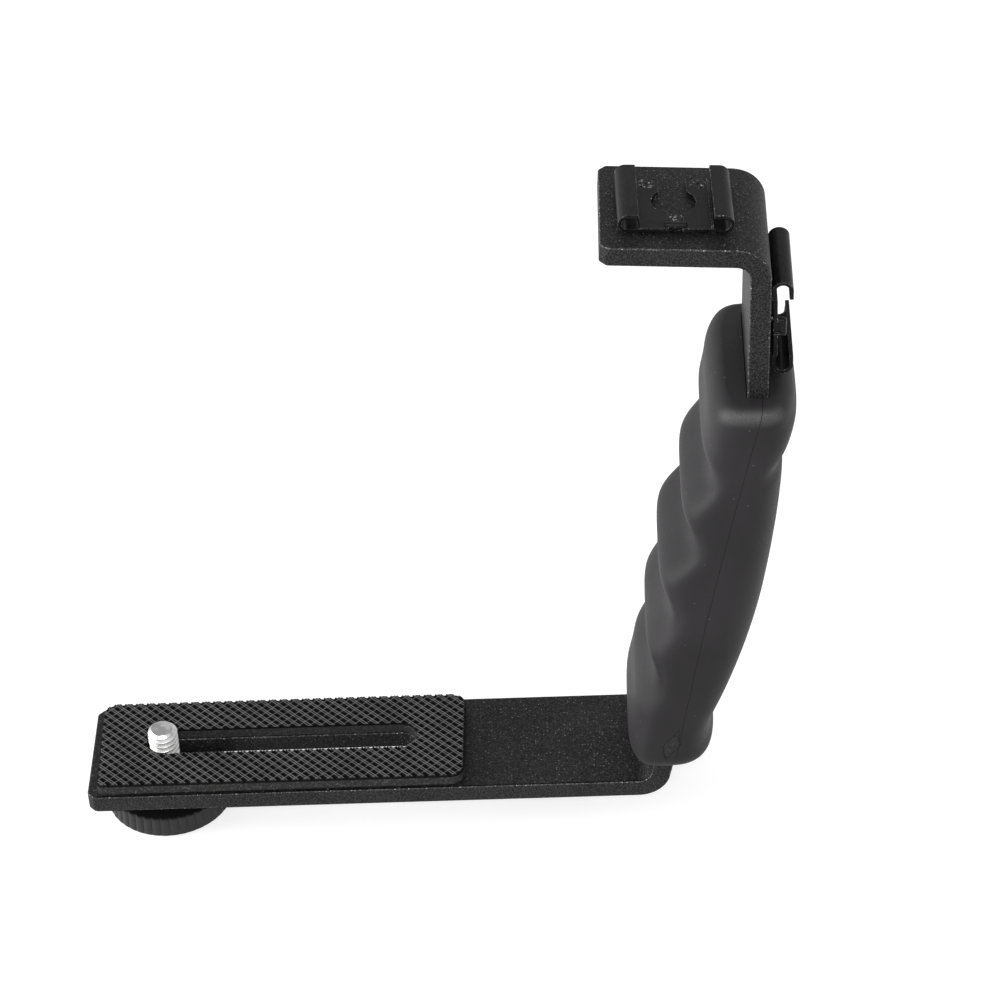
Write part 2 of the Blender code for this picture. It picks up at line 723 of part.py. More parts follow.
def make_shoe(name, width, parts, guides, material):
    """Pressed shoe with a keyhole, countersunk holes and a raised stop at its front edge."""
    shoe = flat_solid(name, [shoe_profile(width)], SHOE_LENGTH / 2, parts)
    shoe.data.transform(Matrix.Rotation(math.pi / 2, 4, "X"))
    front = SHOE_LENGTH / 2
    stop_top = SHOE_FLOOR_TOP + STOP_RISE
    stop = box_solid(
        f"{name}_stop",
        (-STOP_WIDTH / 2, front - STOP_DEPTH, SHOE_FLOOR_TOP - SHOE_SHEET / 2),
        (STOP_WIDTH / 2, front, stop_top),
        guides,
    )
    round_edges(stop, STOP_CORNER, STOP_CORNER_STEPS, EDGE_ANGLE)
    combine(shoe, stop, "UNION")
    mouth = box_solid(
        f"{name}_stop_mouth",
        (SHOE_SHEET - STOP_WIDTH / 2, front - STOP_DEPTH + SHOE_SHEET, -OVERRUN),
        (STOP_WIDTH / 2 - SHOE_SHEET, front + OVERRUN, stop_top - SHOE_SHEET),
        guides,
    )
    combine(shoe, mouth, "DIFFERENCE")
    half_neck = KEYHOLE_NECK / 2
    opening = math.asin(half_neck / KEYHOLE_RADIUS)
    quarter = math.pi / 2
    rim = arc(
        (0.0, -KEYHOLE_SETBACK),
        KEYHOLE_RADIUS,
        opening - quarter,
        3 * quarter - opening,
        2 * SLOT_END_STEPS,
    )
    rear = -SHOE_LENGTH / 2 - OVERRUN
    keyhole = flat_solid(
        f"{name}_keyhole", [[*rim, (-half_neck, rear), (half_neck, rear)]], SHOE_HEIGHT / 2 + OVERRUN, guides
    )
    combine(shoe, keyhole, "DIFFERENCE")
    for place_name, (x, y) in shoe_screw_places().items():
        sink = turned_solid(
            f"{name}_{place_name}_sink",
            countersink(CONTACT_GAP, OVERRUN, SHOE_FLOOR_TOP + OVERRUN),
            SHOE_SCREW_STEPS,
            guides,
        )
        sink.location = (x, y, 0.0)
        combine(shoe, sink, "DIFFERENCE")
    return finish(baked(shoe, parts), material)


def countersink(gap, above, below):
    """Profile of a countersunk screw, or of its hole where a gap is given, down from the shoe's floor."""
    head = SHOE_SCREW_HEAD_RADIUS + gap
    shank = SHOE_SCREW_SHANK_RADIUS + gap
    top = SHOE_FLOOR_TOP
    seat = top - SHOE_SCREW_HEAD_HEIGHT
    profile = [(0.0, top + above), (head, top + above)]
    if above:
        profile.append((head, top))
    return [*profile, (shank, seat), (shank, top - below), (0.0, top - below)]


def make_shoe_screw(name, parts, material):
    """Small countersunk screw, flush with the shoe's raised floor."""
    below = SHOE_FLOOR_TOP + CONTACT_GAP + SHOE_SCREW_BITE
    return finish(turned_solid(name, countersink(0.0, 0.0, below), SHOE_SCREW_STEPS, parts), material)


def fluted_outline(radius, depth):
    """Closed outline with rounded flutes round it."""
    count = KNOB_FLUTES * KNOB_FLUTE_POINTS
    outline = []
    for step in range(count):
        angle = 2 * math.pi * step / count
        wave = (1 + math.cos(KNOB_FLUTES * angle)) / 2
        reach = radius - depth * (1 - wave)
        outline.append((reach * math.cos(angle), reach * math.sin(angle)))
    return outline


def make_knob(parts, guides, material):
    """Fluted knob with a boss that bears on the washer and a pocket for the screw's hexagon head."""
    heights = (
        (KNOB_BOTTOM, KNOB_RIM_CHAMFER),
        (KNOB_BOTTOM + KNOB_RIM_CHAMFER, 0.0),
        (KNOB_RIM_TOP - KNOB_RIM_CHAMFER, 0.0),
        (KNOB_RIM_TOP, KNOB_RIM_CHAMFER),
    )
    rings = []
    for height, inset in heights:
        outline = fluted_outline(KNOB_RADIUS - inset, KNOB_FLUTE_DEPTH)
        rings.append([(x, y, height) for x, y in outline])
    knob = lofted_solid("knob", rings, parts)
    overlap = KNOB_RIM_TOP - KNOB_RIM_HEIGHT / 2
    boss = turned_solid(
        "knob_boss",
        [(0.0, KNOB_TOP), (KNOB_BOSS_RADIUS, KNOB_TOP), (KNOB_BOSS_RADIUS, overlap), (0.0, overlap)],
        TURNED_STEPS,
        guides,
    )
    combine(knob, boss, "UNION")
    below = KNOB_BOTTOM - OVERRUN
    recess_top = KNOB_BOTTOM + KNOB_BOTTOM_RECESS
    recess = turned_solid(
        "knob_recess",
        [(0.0, recess_top), (KNOB_RECESS_RADIUS, recess_top), (KNOB_RECESS_RADIUS, below), (0.0, below)],
        TURNED_STEPS,
        guides,
    )
    combine(knob, recess, "DIFFERENCE")
    pocket_top = recess_top + STUD_HEAD_HEIGHT + CONTACT_GAP
    pocket = turned_solid(
        "knob_pocket",
        hexagon_profile(pocket_top, below, STUD_HEAD_RADIUS + CONTACT_GAP),
        STUD_HEAD_SIDES,
        guides,
    )
    combine(knob, pocket, "DIFFERENCE")
    bore_radius = STUD_RADIUS + CONTACT_GAP
    bore = turned_solid(
        "knob_bore",
        [
            (0.0, KNOB_TOP + OVERRUN),
            (bore_radius, KNOB_TOP + OVERRUN),
            (bore_radius, recess_top),
            (0.0, recess_top),
        ],
        STUD_STEPS,
        guides,
    )
    combine(knob, bore, "DIFFERENCE")
    knob = baked(knob, parts)
    knob.location = (SCREW_AXIS, 0.0, 0.0)
    return finish(knob, material)


def hexagon_profile(top, bottom, radius):
    """Profile of a plain block between two heights, which as many steps as it has sides turn into a hexagon."""
    return [(0.0, top), (radius, top), (radius, bottom), (0.0, bottom)]


def make_stud(parts, guides, material):
    """Screw whose hexagon head sits in the knob and whose tip stands above the pad."""
    head_bottom = KNOB_BOTTOM + KNOB_BOTTOM_RECESS
    head_top = head_bottom + STUD_HEAD_HEIGHT
    tip = STUD_RADIUS - STUD_TIP_CHAMFER
    root = head_bottom + STUD_HEAD_HEIGHT / 2
    profile = [
        (0.0, STUD_TOP),
        (tip, STUD_TOP),
        (STUD_RADIUS, STUD_TOP - STUD_TIP_CHAMFER),
        (STUD_RADIUS, root),
        (0.0, root),
    ]
    stud = turned_solid("screw_stud", profile, STUD_STEPS, parts)
    head_profile = hexagon_profile(head_top, head_bottom, STUD_HEAD_RADIUS)
    head = turned_solid("stud_head", head_profile, STUD_HEAD_SIDES, guides)
    combine(stud, head, "UNION")
    stud = baked(stud, parts)
    stud.location = (SCREW_AXIS, 0.0, 0.0)
    return finish(stud, material)


def make_washer(parts, material):
    """Flat washer between the knob's boss and the bar."""
    top = -CONTACT_GAP
    bottom = top - WASHER_THICKNESS
    bore = STUD_RADIUS + CONTACT_GAP
    profile = [(bore, top), (WASHER_RADIUS, top), (WASHER_RADIUS, bottom), (bore, bottom), (bore, top)]
    washer = turned_solid("screw_washer", profile, TURNED_STEPS, parts)
    washer.location = (SCREW_AXIS, 0.0, 0.0)
    return finish(washer, material)


def overall_length():
    """Distance from the bar's free end to the outermost point of the grip."""
    return max(x for height in grip_levels() for x, _, _ in grip_ring(height))


def main():
    for leftover in list(bpy.data.objects):
        bpy.data.objects.remove(leftover)
    parts = bpy.data.collections.new("camera_flash_bracket")
    guides = bpy.data.collections.new("cutters")
    bpy.context.scene.collection.children.link(parts)
    bpy.context.scene.collection.children.link(guides)

    powder_coat = painted("black_powder_coat", (0.022, 0.022, 0.023), 0.5, 0.2)
    pad_rubber = painted("pad_rubber", (0.03, 0.03, 0.03), 0.75, 0.0)
    grip_rubber = painted("grip_rubber", (0.045, 0.043, 0.043), 0.6, 0.0)
    shoe_black = painted("black_pressed_steel", (0.025, 0.025, 0.026), 0.35, 0.4)
    screw_black = painted("blackened_screw", (0.05, 0.05, 0.05), 0.35, 0.9)
    knob_plastic = painted("knob_plastic", (0.035, 0.035, 0.036), 0.5, 0.0)
    bright_steel = painted("bright_steel", (0.80, 0.80, 0.80), 0.22, 1.0)
    nylon = painted("black_nylon", (0.02, 0.02, 0.02), 0.6, 0.0)

    pieces = [
        make_bar(parts, guides, powder_coat),
        make_pad(parts, guides, pad_rubber),
        make_grip(parts, guides, grip_rubber),
        make_knob(parts, guides, knob_plastic),
        make_stud(parts, guides, bright_steel),
        make_washer(parts, nylon),
    ]
    stances = {"top": (TOP_SHOE_WIDTH, 0.0), "side": (SIDE_SHOE_WIDTH, SIDE_SHOE_TILT)}
    for shoe_name, (station, twist) in shoe_seats().items():
        width, tilt = stances[shoe_name]
        seat = shoe_frame(station, twist) @ shoe_stance(width, tilt)
        shoe = make_shoe(f"{shoe_name}_shoe", width, parts, guides, shoe_black)
        shoe.matrix_world = seat
        pieces.append(shoe)
        for place_name, (x, y) in shoe_screw_places().items():
            screw = make_shoe_screw(f"{shoe_name}_shoe_screw_{place_name}", parts, screw_black)
            screw.matrix_world = seat @ Matrix.Translation((x, y, 0.0))
            pieces.append(screw)

    frame = bpy.data.objects.new("bracket_frame", None)
    parts.objects.link(frame)
    for piece in pieces:
        piece.parent = frame
    frame.location = (-overall_length() / 2, 0.0, -KNOB_BOTTOM)


main()
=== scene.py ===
"""Looks of a camera flash bracket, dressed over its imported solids.

Every piece is built in world metres, in the frame of the solids, so it stays where they are.
"""

import logging
import math
from dataclasses import dataclass, field
from enum import Enum
from typing import Iterable, Sequence

import bmesh
import bpy
from mathutils import Matrix, Vector


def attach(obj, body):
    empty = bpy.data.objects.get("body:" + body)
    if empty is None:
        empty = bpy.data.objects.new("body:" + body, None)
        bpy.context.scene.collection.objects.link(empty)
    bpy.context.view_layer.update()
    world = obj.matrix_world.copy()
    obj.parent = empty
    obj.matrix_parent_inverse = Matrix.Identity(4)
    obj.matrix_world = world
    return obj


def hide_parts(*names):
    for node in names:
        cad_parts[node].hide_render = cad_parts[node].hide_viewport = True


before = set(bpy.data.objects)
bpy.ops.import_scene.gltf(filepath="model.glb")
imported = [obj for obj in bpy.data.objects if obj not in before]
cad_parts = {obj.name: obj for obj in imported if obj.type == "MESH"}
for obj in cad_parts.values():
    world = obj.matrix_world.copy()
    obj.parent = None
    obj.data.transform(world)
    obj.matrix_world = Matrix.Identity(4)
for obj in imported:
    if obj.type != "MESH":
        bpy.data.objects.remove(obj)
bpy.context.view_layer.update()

LOG = logging.getLogger("flash_bracket")
MM = 0.001
WELD = 0.002 * MM
SEAM_WELD = 0.005 * MM
THREAD_WELD = 0.0005 * MM
QUARTER = math.pi / 2
HEXAGON = 6

Point = tuple[float, float]
Place = tuple[float, float, float]
Piece = bpy.types.Object
Material = bpy.types.Material
Socket = bpy.types.NodeSocket
Value = Socket | float
Colour = Socket | Sequence[float]


class Body(Enum):
    """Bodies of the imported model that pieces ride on."""

    BRACKET = "bracket"
    WASHER = "slide_washer"
    THUMB_SCREW = "thumb_screw"


class Slot(Enum):
    """Material slots of the record."""

    POWDER_COAT = "powder_coat"
    PAD_RUBBER = "pad_rubber"
    GRIP_RUBBER = "grip_rubber"
    SHOE_BLACK = "shoe_black"
    SCREW_BLACK = "screw_black"
    KNOB_PLASTIC = "knob_plastic"
    BRIGHT_STEEL = "bright_steel"
    NYLON = "nylon"


# Node wiring


class Wiring:
    """Builds one procedural material node by node, in the object's own coordinates."""

    def __init__(self, name: str) -> None:
        """Starts a material with an empty tree and a Principled shader.

        Args:
            name: Name of the material.
        """
        self.material = bpy.data.materials.new(name)
        self.material.use_nodes = True
        self.tree = self.material.node_tree
        self.shader = self.tree.nodes["Principled BSDF"]
        self.place = self.tree.nodes.new("ShaderNodeTexCoord").outputs["Object"]

    def link(self, source: Value | Colour, target: Socket) -> None:
        """Feeds a socket from another socket or sets its constant value.

        Args:
            source: Socket or constant value.
            target: Socket that is fed.
        """
        if isinstance(source, bpy.types.NodeSocket):
            self.tree.links.new(source, target)
        else:
            target.default_value = source

    def math(self, operation: str, *values: Value, clamp: bool = False) -> Socket:
        """Adds a Math node.

        Args:
            operation: Blender's name for the operation.
            values: Inputs in order.
            clamp: Keeps the result between 0 and 1.

        Returns:
            The result.
        """
        node = self.tree.nodes.new("ShaderNodeMath")
        node.operation = operation
        node.use_clamp = clamp
        for value, target in zip(values, node.inputs):
            self.link(value, target)
        return node.outputs[0]

    def axis(self, name: str) -> Socket:
        """Coordinate of the shaded point along X, Y or Z, in metres.

        Args:
            name: X, Y or Z.

        Returns:
            The coordinate.
        """
        node = self.tree.nodes.new("ShaderNodeSeparateXYZ")
        self.link(self.place, node.inputs[0])
        return node.outputs[name]

    def noise(
        self, size: float, detail: float = 2.0, roughness: float = 0.5, distortion: float = 0.0
    ) -> Socket:
        """Adds a cloudy pattern.

        Args:
            size: Size of a cloud, in metres.
            detail: Number of finer layers.
            roughness: Weight of the finer layers.
            distortion: How far the clouds are warped.

        Returns:
            A value about 0.5.
        """
        node = self.tree.nodes.new("ShaderNodeTexNoise")
        self.link(self.place, node.inputs["Vector"])
        settings = {"Scale": 1.0 / size, "Detail": detail, "Roughness": roughness, "Distortion": distortion}
        for name, setting in settings.items():
            node.inputs[name].default_value = setting
        return node.outputs[0]

    def specks(self, size: float, reach: Point, channel: int, chance: float) -> Socket:
        """Adds a dot in the middle of some cells, which are picked by chance.

        Args:
            size: Size of a cell, in metres.
            reach: Distances from the middle, in cells, where the dot starts to fade and ends.
            channel: Channel of the cell's colour that decides.
            chance: Value above which the cell has a dot.

        Returns:
            Mask of the dots.
        """
        cells = self.tree.nodes.new("ShaderNodeTexVoronoi")
        self.link(self.place, cells.inputs["Vector"])
        cells.inputs["Scale"].default_value = 1.0 / size
        split = self.tree.nodes.new("ShaderNodeSeparateColor")
        self.link(cells.outputs["Color"], split.inputs[0])
        lucky = self.math("GREATER_THAN", split.outputs[channel], chance)
        return self.math("MULTIPLY", self.fade(cells.outputs["Distance"], *reach), lucky)

    def ramp(self, value: Socket, low: float, high: float, start: float = 0.0, end: float = 1.0) -> Socket:
        """Maps a range of values smoothly onto another.

        Args:
            value: What is mapped.
            low: Value that becomes start.
            high: Value that becomes end.
            start: Result at low.
            end: Result at high.

        Returns:
            The mapped value.
        """
        node = self.tree.nodes.new("ShaderNodeMapRange")
        node.interpolation_type = "SMOOTHSTEP"
        for source, target in zip((value, low, high, start, end), node.inputs):
            self.link(source, target)
        return node.outputs[0]

    def fade(self, value: Socket, low: float, high: float) -> Socket:
        """Maps a range of values smoothly from 1 down to 0."""
        return self.ramp(value, low, high, 1.0, 0.0)

    def product(self, *values: Value) -> Socket:
        """Multiplies values from the first to the last.

        Args:
            values: Values in order.

        Returns:
            Their product.
        """
        total = values[0]
        for value in values[1:]:
            total = self.math("MULTIPLY", total, value)
        return total

    def blend(self, share: Value, first: Colour, second: Colour) -> Socket:
        """Blends two colours.

        Args:
            share: Weight of the second colour.
            first: Colour at 0.
            second: Colour at 1.

        Returns:
            The blended colour.
        """
        node = self.tree.nodes.new("ShaderNodeMix")
        node.data_type = "RGBA"
        self.link(share, node.inputs[0])
        self.link(first, node.inputs[6])
        self.link(second, node.inputs[7])
        return node.outputs[2]

    def bump(self, height: Socket, depth: float, strength: float) -> Socket:
        """Turns a height into a surface normal.

        Args:
            height: Height from 0 to 1.
            depth: Real height of 1, in metres.
            strength: Weight of the bump.

        Returns:
            The normal.
        """
        node = self.tree.nodes.new("ShaderNodeBump")
        for name, source in (("Strength", strength), ("Distance", depth), ("Height", height)):
            self.link(source, node.inputs[name])
        return node.outputs[0]

    def finish(self, **sockets: Value | Colour) -> Material:
        """Feeds the shader's sockets, which are named with underscores here.

        Args:
            sockets: What feeds each socket, by name.

        Returns:
            The material.
        """
        for name, source in sockets.items():
            self.link(source, self.shader.inputs[name.replace("_", " ")])
        return self.material


def grey(level: float, warmth: float = 0.0) -> tuple[float, float, float, float]:
    """Grey of a level, a little warmer where warmth is above 0."""
    return (level * (1 + warmth), level, level * (1 - warmth), 1.0)


# Finishes


@dataclass(frozen=True)
class PowderCoat:
    """Fine-grained black powder coat with tiny sparkles, of which the bar's narrow sides show few."""

    name: str = "black powder coat"
    base: float = 0.0035
    pale: float = 0.031
    spark: float = 0.22
    spark_chance: float = 0.66
    grain: float = 0.34 * MM
    grain_depth: float = 0.07 * MM
    sparkle_size: float = 0.62 * MM
    sparkle_reach: Point = (0.10, 0.24)
    strip_side: float = 13.45 * MM
    side_blend: float = 0.05 * MM
    side_sparkle: float = 0.3
    roughness: Point = (0.60, 0.46)

    def material(self) -> Material:
        """Builds the material.

        Returns:
            The material.
        """
        w = Wiring(self.name)
        fine = w.noise(self.grain, detail=3.0, roughness=0.62)
        broad = w.ramp(w.noise(14 * MM), 0.3, 0.75, -0.12, 0.12)
        reach = w.math("ABSOLUTE", w.axis("Y"))
        off_side = w.ramp(reach, self.strip_side - self.side_blend, self.strip_side, 1.0, self.side_sparkle)
        on_side = w.math("SUBTRACT", 1.0, off_side)
        sparkle = w.product(w.specks(self.sparkle_size, self.sparkle_reach, 0, self.spark_chance), off_side)
        tone = w.math("ADD", w.ramp(fine, 0.44, 0.68), broad, clamp=True)
        side_tone = w.math("ADD", w.ramp(fine, 0.40, 0.62, 0.0, 1.25), broad)
        tone = w.math("ADD", w.product(tone, off_side), w.product(side_tone, on_side))
        colour = w.blend(tone, grey(self.base), grey(self.pale))
        colour = w.blend(w.product(sparkle, 0.8), colour, grey(self.spark, 0.03))
        height = w.math("ADD", fine, w.product(sparkle, 0.35))
        return w.finish(
            Base_Color=colour,
            Roughness=w.ramp(fine, 0.35, 0.7, *self.roughness),
            Normal=w.bump(height, self.grain_depth, 0.75),
            Specular_IOR_Level=0.14,
        )


@dataclass(frozen=True)
class PadRubber:
    """Black rubber of the pad: a painted highlight on the ridge tops over painted shade in the pits, and rough
    cut sides.
    """

    name: str = "pad rubber"
    ridge_top: float = 15.0 * MM
    # Band below the ridge tops over which the painted highlight fades in.
    lit_ridge_span: Point = (0.12 * MM, 0.02 * MM)
    pit_floor: float = 14.62 * MM
    side_start: float = 14.5 * MM
    side_blend: float = 0.2 * MM
    # The pit grey is painted shade on the pit floors; the ridge grey is a painted highlight on the ridge tops.
    pit_shade: float = 0.002
    ridge: float = 0.115
    side: float = 0.026
    crumb: float = 0.13

    def material(self) -> Material:
        """Builds the material.

        Returns:
            The material.
        """
        w = Wiring(self.name)
        height = w.axis("Z")
        fine = w.noise(0.20 * MM, detail=3.0, roughness=0.6)
        coarse = w.noise(0.75 * MM, detail=3.0, roughness=0.6)
        # Colour rises with height from the painted shade of the pit floors, and the top band of each ridge gets
        # the painted highlight.
        depth = w.ramp(height, self.pit_floor, self.ridge_top)
        low, high = (self.ridge_top - drop for drop in self.lit_ridge_span)
        lit_ridges = w.product(depth, w.ramp(height, low, high, 0.12, 1.0), w.ramp(fine, 0.3, 0.7, 0.7, 1.2))
        tone = w.math("MULTIPLY", lit_ridges, w.ramp(w.noise(7 * MM), 0.3, 0.7, 0.8, 1.15), clamp=True)
        crumbs = w.product(w.ramp(fine, 0.50, 0.66), w.ramp(coarse, 0.42, 0.62))
        on_top = w.blend(tone, grey(self.pit_shade), grey(self.ridge))
        on_side = w.blend(crumbs, grey(self.side), grey(self.crumb, 0.03))
        beside = w.fade(height, self.side_start - self.side_blend, self.side_start)
        return w.finish(
            Base_Color=w.blend(beside, on_top, on_side),
            Roughness=w.ramp(fine, 0.3, 0.7, 0.75, 0.58),
            Normal=w.bump(w.math("ADD", fine, coarse), 0.06 * MM, 0.6),
            Specular_IOR_Level=0.06,
        )


@dataclass(frozen=True)
class GripRubber:
    """Soft matte charcoal rubber of the grip, with its mould seam, gate mark, a painted highlight along the
    front of the top and a little dust.
    """

    name: str = "grip rubber"
    seam_foot: float = 45.53 * MM
    seam_lean: float = 0.1512
    seam_bow: float = 0.381
    seam_width: float = 0.12 * MM
    seam_wander: float = 0.35 * MM
    gate: Point = (48.35 * MM, 26.8 * MM)
    gate_half: Point = (1.9 * MM, 4.0 * MM)
    gate_lean: float = 0.38
    # Heights and front reach of the painted highlight along the front of the top.
    rim_span: Place = (108.6 * MM, 111.6 * MM, 112.9 * MM)
    rim_front: Point = (-17.6 * MM, -14.5 * MM)
    base: float = 0.0180
    pale: float = 0.0238
    rim_highlight_grey: float = 0.085
    dust: float = 0.13
    dust_cell: float = 3.0 * MM

    def seam(self, w: Wiring) -> Socket:
        """Mask of the parting line, which runs up the front and rear in a slight bow.

        Args:
            w: Wiring of the material.

        Returns:
            The mask.
        """
        height = w.axis("Z")
        lean = w.math("MULTIPLY_ADD", height, self.seam_bow, self.seam_lean)
        line = w.math("MULTIPLY_ADD", height, lean, self.seam_foot)
        wander = w.product(w.math("SUBTRACT", w.noise(9 * MM), 0.5), self.seam_wander)
        offset = w.math("ABSOLUTE", w.math("ADD", w.math("SUBTRACT", w.axis("X"), line), wander))
        return w.fade(offset, self.seam_width * 0.3, self.seam_width)

    def gate_mark(self, w: Wiring) -> tuple[Socket, Socket]:
        """Masks of the lozenge that the moulding left near the grip's foot, and of its rim.

        Args:
            w: Wiring of the material.

        Returns:
            Masks of the inside and of the rim.
        """
        rise = w.math("SUBTRACT", w.axis("Z"), self.gate[1])
        middle = w.math("MULTIPLY_ADD", rise, self.gate_lean, self.gate[0])
        offsets = (w.math("SUBTRACT", w.axis("X"), middle), rise)
        shares = [w.math("DIVIDE", w.math("ABSOLUTE", gap), half) for gap, half in zip(offsets, self.gate_half)]
        rough = w.product(w.math("SUBTRACT", w.noise(0.9 * MM, detail=3.0), 0.5), 0.55)
        reach = w.math("ADD", w.math("ADD", *shares), rough)
        front = w.math("LESS_THAN", w.axis("Y"), 0.0)
        inside = w.product(w.fade(reach, 0.86, 1.0), front)
        from_rim = w.math("ABSOLUTE", w.math("SUBTRACT", reach, 0.95))
        return inside, w.product(w.fade(from_rim, 0.04, 0.13), front)

    def painted_rim_highlight(self, w: Wiring) -> Socket:
        """Mask of the painted highlight, a paler band along the front of the top.

        Args:
            w: Wiring of the material.

        Returns:
            The mask.
        """
        low, middle, high = self.rim_span
        height = w.axis("Z")
        rise = w.product(w.ramp(height, low, middle), w.fade(height, middle, high))
        front = w.fade(w.axis("Y"), *self.rim_front)
        return w.product(rise, front, w.ramp(w.noise(0.3 * MM, detail=3.0, roughness=0.6), 0.3, 0.7, 0.6, 1.0))

    def material(self) -> Material:
        """Builds the material.

        Returns:
            The material.
        """
        w = Wiring(self.name)
        skin = w.noise(0.28 * MM)
        seam = self.seam(w)
        inside, rim = self.gate_mark(w)
        crumbs = w.product(inside, w.ramp(w.noise(0.5 * MM, detail=3.0), 0.46, 0.62))
        tints = [(level * 1.04, level * 0.97, level * 1.04, 1.0) for level in (self.base, self.pale)]
        colour = w.blend(w.ramp(w.noise(18 * MM, detail=3.0), 0.3, 0.7), *tints)
        marks = (
            # Painted highlight along the front of the top.
            (self.painted_rim_highlight(w), self.rim_highlight_grey),
            (w.product(seam, 0.8), 0.003),
            (w.product(rim, 0.8), 0.004),
            (w.product(crumbs, 0.5), 0.055),
            (w.product(w.specks(self.dust_cell, (0.03, 0.07), 1, 0.62), 0.5), self.dust),
        )
        for mask, level in marks:
            colour = w.blend(mask, colour, grey(level))
        furrows = w.math("ADD", seam, w.product(rim, 1.5))
        return w.finish(
            Base_Color=colour,
            Roughness=w.ramp(skin, 0.3, 0.7, 0.60, 0.50),
            Normal=w.bump(w.math("SUBTRACT", w.product(skin, 0.45), furrows), 0.08 * MM, 0.55),
            Specular_IOR_Level=0.12,
        )


@dataclass(frozen=True)
class ShoeBlack:
    """Smooth satin black of the pressed shoes, with faint handling marks."""

    name: str = "satin black steel"
    dark: float = 0.005
    pale: float = 0.012

    def material(self) -> Material:
        """Builds the material.

        Returns:
            The material.
        """
        w = Wiring(self.name)
        fine = w.noise(0.5 * MM, detail=3.0)
        broad = w.noise(6 * MM, detail=3.0, distortion=0.6)
        tone = w.ramp(w.math("ADD", fine, w.product(broad, 0.6)), 0.6, 1.0)
        return w.finish(
            Base_Color=w.blend(tone, grey(self.dark), grey(self.pale)),
            Roughness=w.ramp(broad, 0.3, 0.7, 0.30, 0.42),
            Normal=w.bump(fine, 0.02 * MM, 0.35),
            Specular_IOR_Level=0.09,
        )


@dataclass(frozen=True)
class BlackenedScrew:
    """Blackened steel of the small screws, rubbed bright here and there."""

    name: str = "blackened screw"
    dark: float = 0.012
    rubbed: float = 0.40

    def material(self) -> Material:
        """Builds the material.

        Returns:
            The material.
        """
        w = Wiring(self.name)
        rub = w.noise(0.7 * MM, detail=3.0, roughness=0.7)
        return w.finish(
            Base_Color=w.blend(w.ramp(rub, 0.57, 0.66), grey(self.dark), grey(self.rubbed)),
            Metallic=0.9,
            Roughness=w.ramp(rub, 0.4, 0.7, 0.42, 0.25),
            Normal=w.bump(rub, 0.03 * MM, 0.5),
        )


@dataclass(frozen=True)
class KnobPlastic:
    """Matte black plastic of the knob, paler on its fluted rim, with painted shade darkening its top face."""

    name: str = "knob plastic"
    dark: float = 0.006
    pale: float = 0.034
    shaded_face_height: float = 4.9 * MM
    shaded_face_blend: float = 0.35 * MM

    def material(self) -> Material:
        """Builds the material.

        Returns:
            The material.
        """
        w = Wiring(self.name)
        fine = w.noise(0.3 * MM)
        # Above the fluted rim, the top face and boss take the dark grey, a painted shade.
        rim = w.fade(w.axis("Z"), self.shaded_face_height - self.shaded_face_blend, self.shaded_face_height)
        tone = w.math("MULTIPLY", rim, w.ramp(fine, 0.25, 0.75, 0.8, 1.1), clamp=True)
        return w.finish(
            Base_Color=w.blend(tone, grey(self.dark), grey(self.pale)),
            Roughness=w.ramp(fine, 0.3, 0.7, 0.55, 0.45),
            Normal=w.bump(fine, 0.02 * MM, 0.4),
            Specular_IOR_Level=0.1,
        )


@dataclass(frozen=True)
class BrightSteel:
    """Bright plated steel of the stud, duller where its tip was cut."""

    name: str = "bright plated steel"
    cut_height: float = 18.78 * MM
    cut_blend: float = 0.03 * MM
    cut_levels: Point = (0.27, 0.40)
    levels: Point = (0.50, 0.60)

    def material(self) -> Material:
        """Builds the material.

        Returns:
            The material.
        """
        w = Wiring(self.name)
        fine = w.noise(1.4 * MM)
        cut = w.ramp(w.axis("Z"), self.cut_height - self.cut_blend, self.cut_height)
        low, high = self.levels
        bright = w.blend(w.ramp(w.noise(2.4 * MM), 0.35, 0.7), grey(low, 0.01), grey(high))
        dull = w.blend(w.ramp(fine, 0.4, 0.65), *map(grey, self.cut_levels))
        return w.finish(
            Base_Color=w.blend(cut, bright, dull),
            Metallic=1.0,
            Roughness=w.ramp(fine, 0.3, 0.7, 0.34, 0.42),
            Normal=w.bump(fine, 0.004 * MM, 0.3),
        )


@dataclass(frozen=True)
class Nylon:
    """Black nylon of the washer."""

    name: str = "black nylon"
    dark: float = 0.010
    pale: float = 0.020

    def material(self) -> Material:
        """Builds the material.

        Returns:
            The material.
        """
        w = Wiring(self.name)
        fine = w.noise(0.4 * MM)
        return w.finish(
            Base_Color=w.blend(w.ramp(fine, 0.3, 0.7), grey(self.dark), grey(self.pale)),
            Roughness=w.ramp(fine, 0.3, 0.7, 0.5, 0.62),
            Normal=w.bump(fine, 0.02 * MM, 0.4),
            Specular_IOR_Level=0.3,
        )


# Mesh tools


def arc(centre: Point, radius: float, start: float, end: float, steps: int) -> list[Point]:
    """Points on an arc, both ends included."""
    angles = [start + (end - start) * step / steps for step in range(steps + 1)]
    return [(centre[0] + radius * math.cos(a), centre[1] + radius * math.sin(a)) for a in angles]


def slot_outline(start: float, end: float, radius: float, steps: int = 24) -> list[Point]:
    """Round-ended slot along X between the centres of its ends.

    Args:
        start: Centre of one end.
        end: Centre of the other end.
        radius: Radius of the ends.
        steps: Number of pieces in each end.

    Returns:
        Points in order.
    """
    right = arc((end, 0.0), radius, -QUARTER, QUARTER, steps)
    left = arc((start, 0.0), radius, QUARTER, 3 * QUARTER, steps)
    return right + left


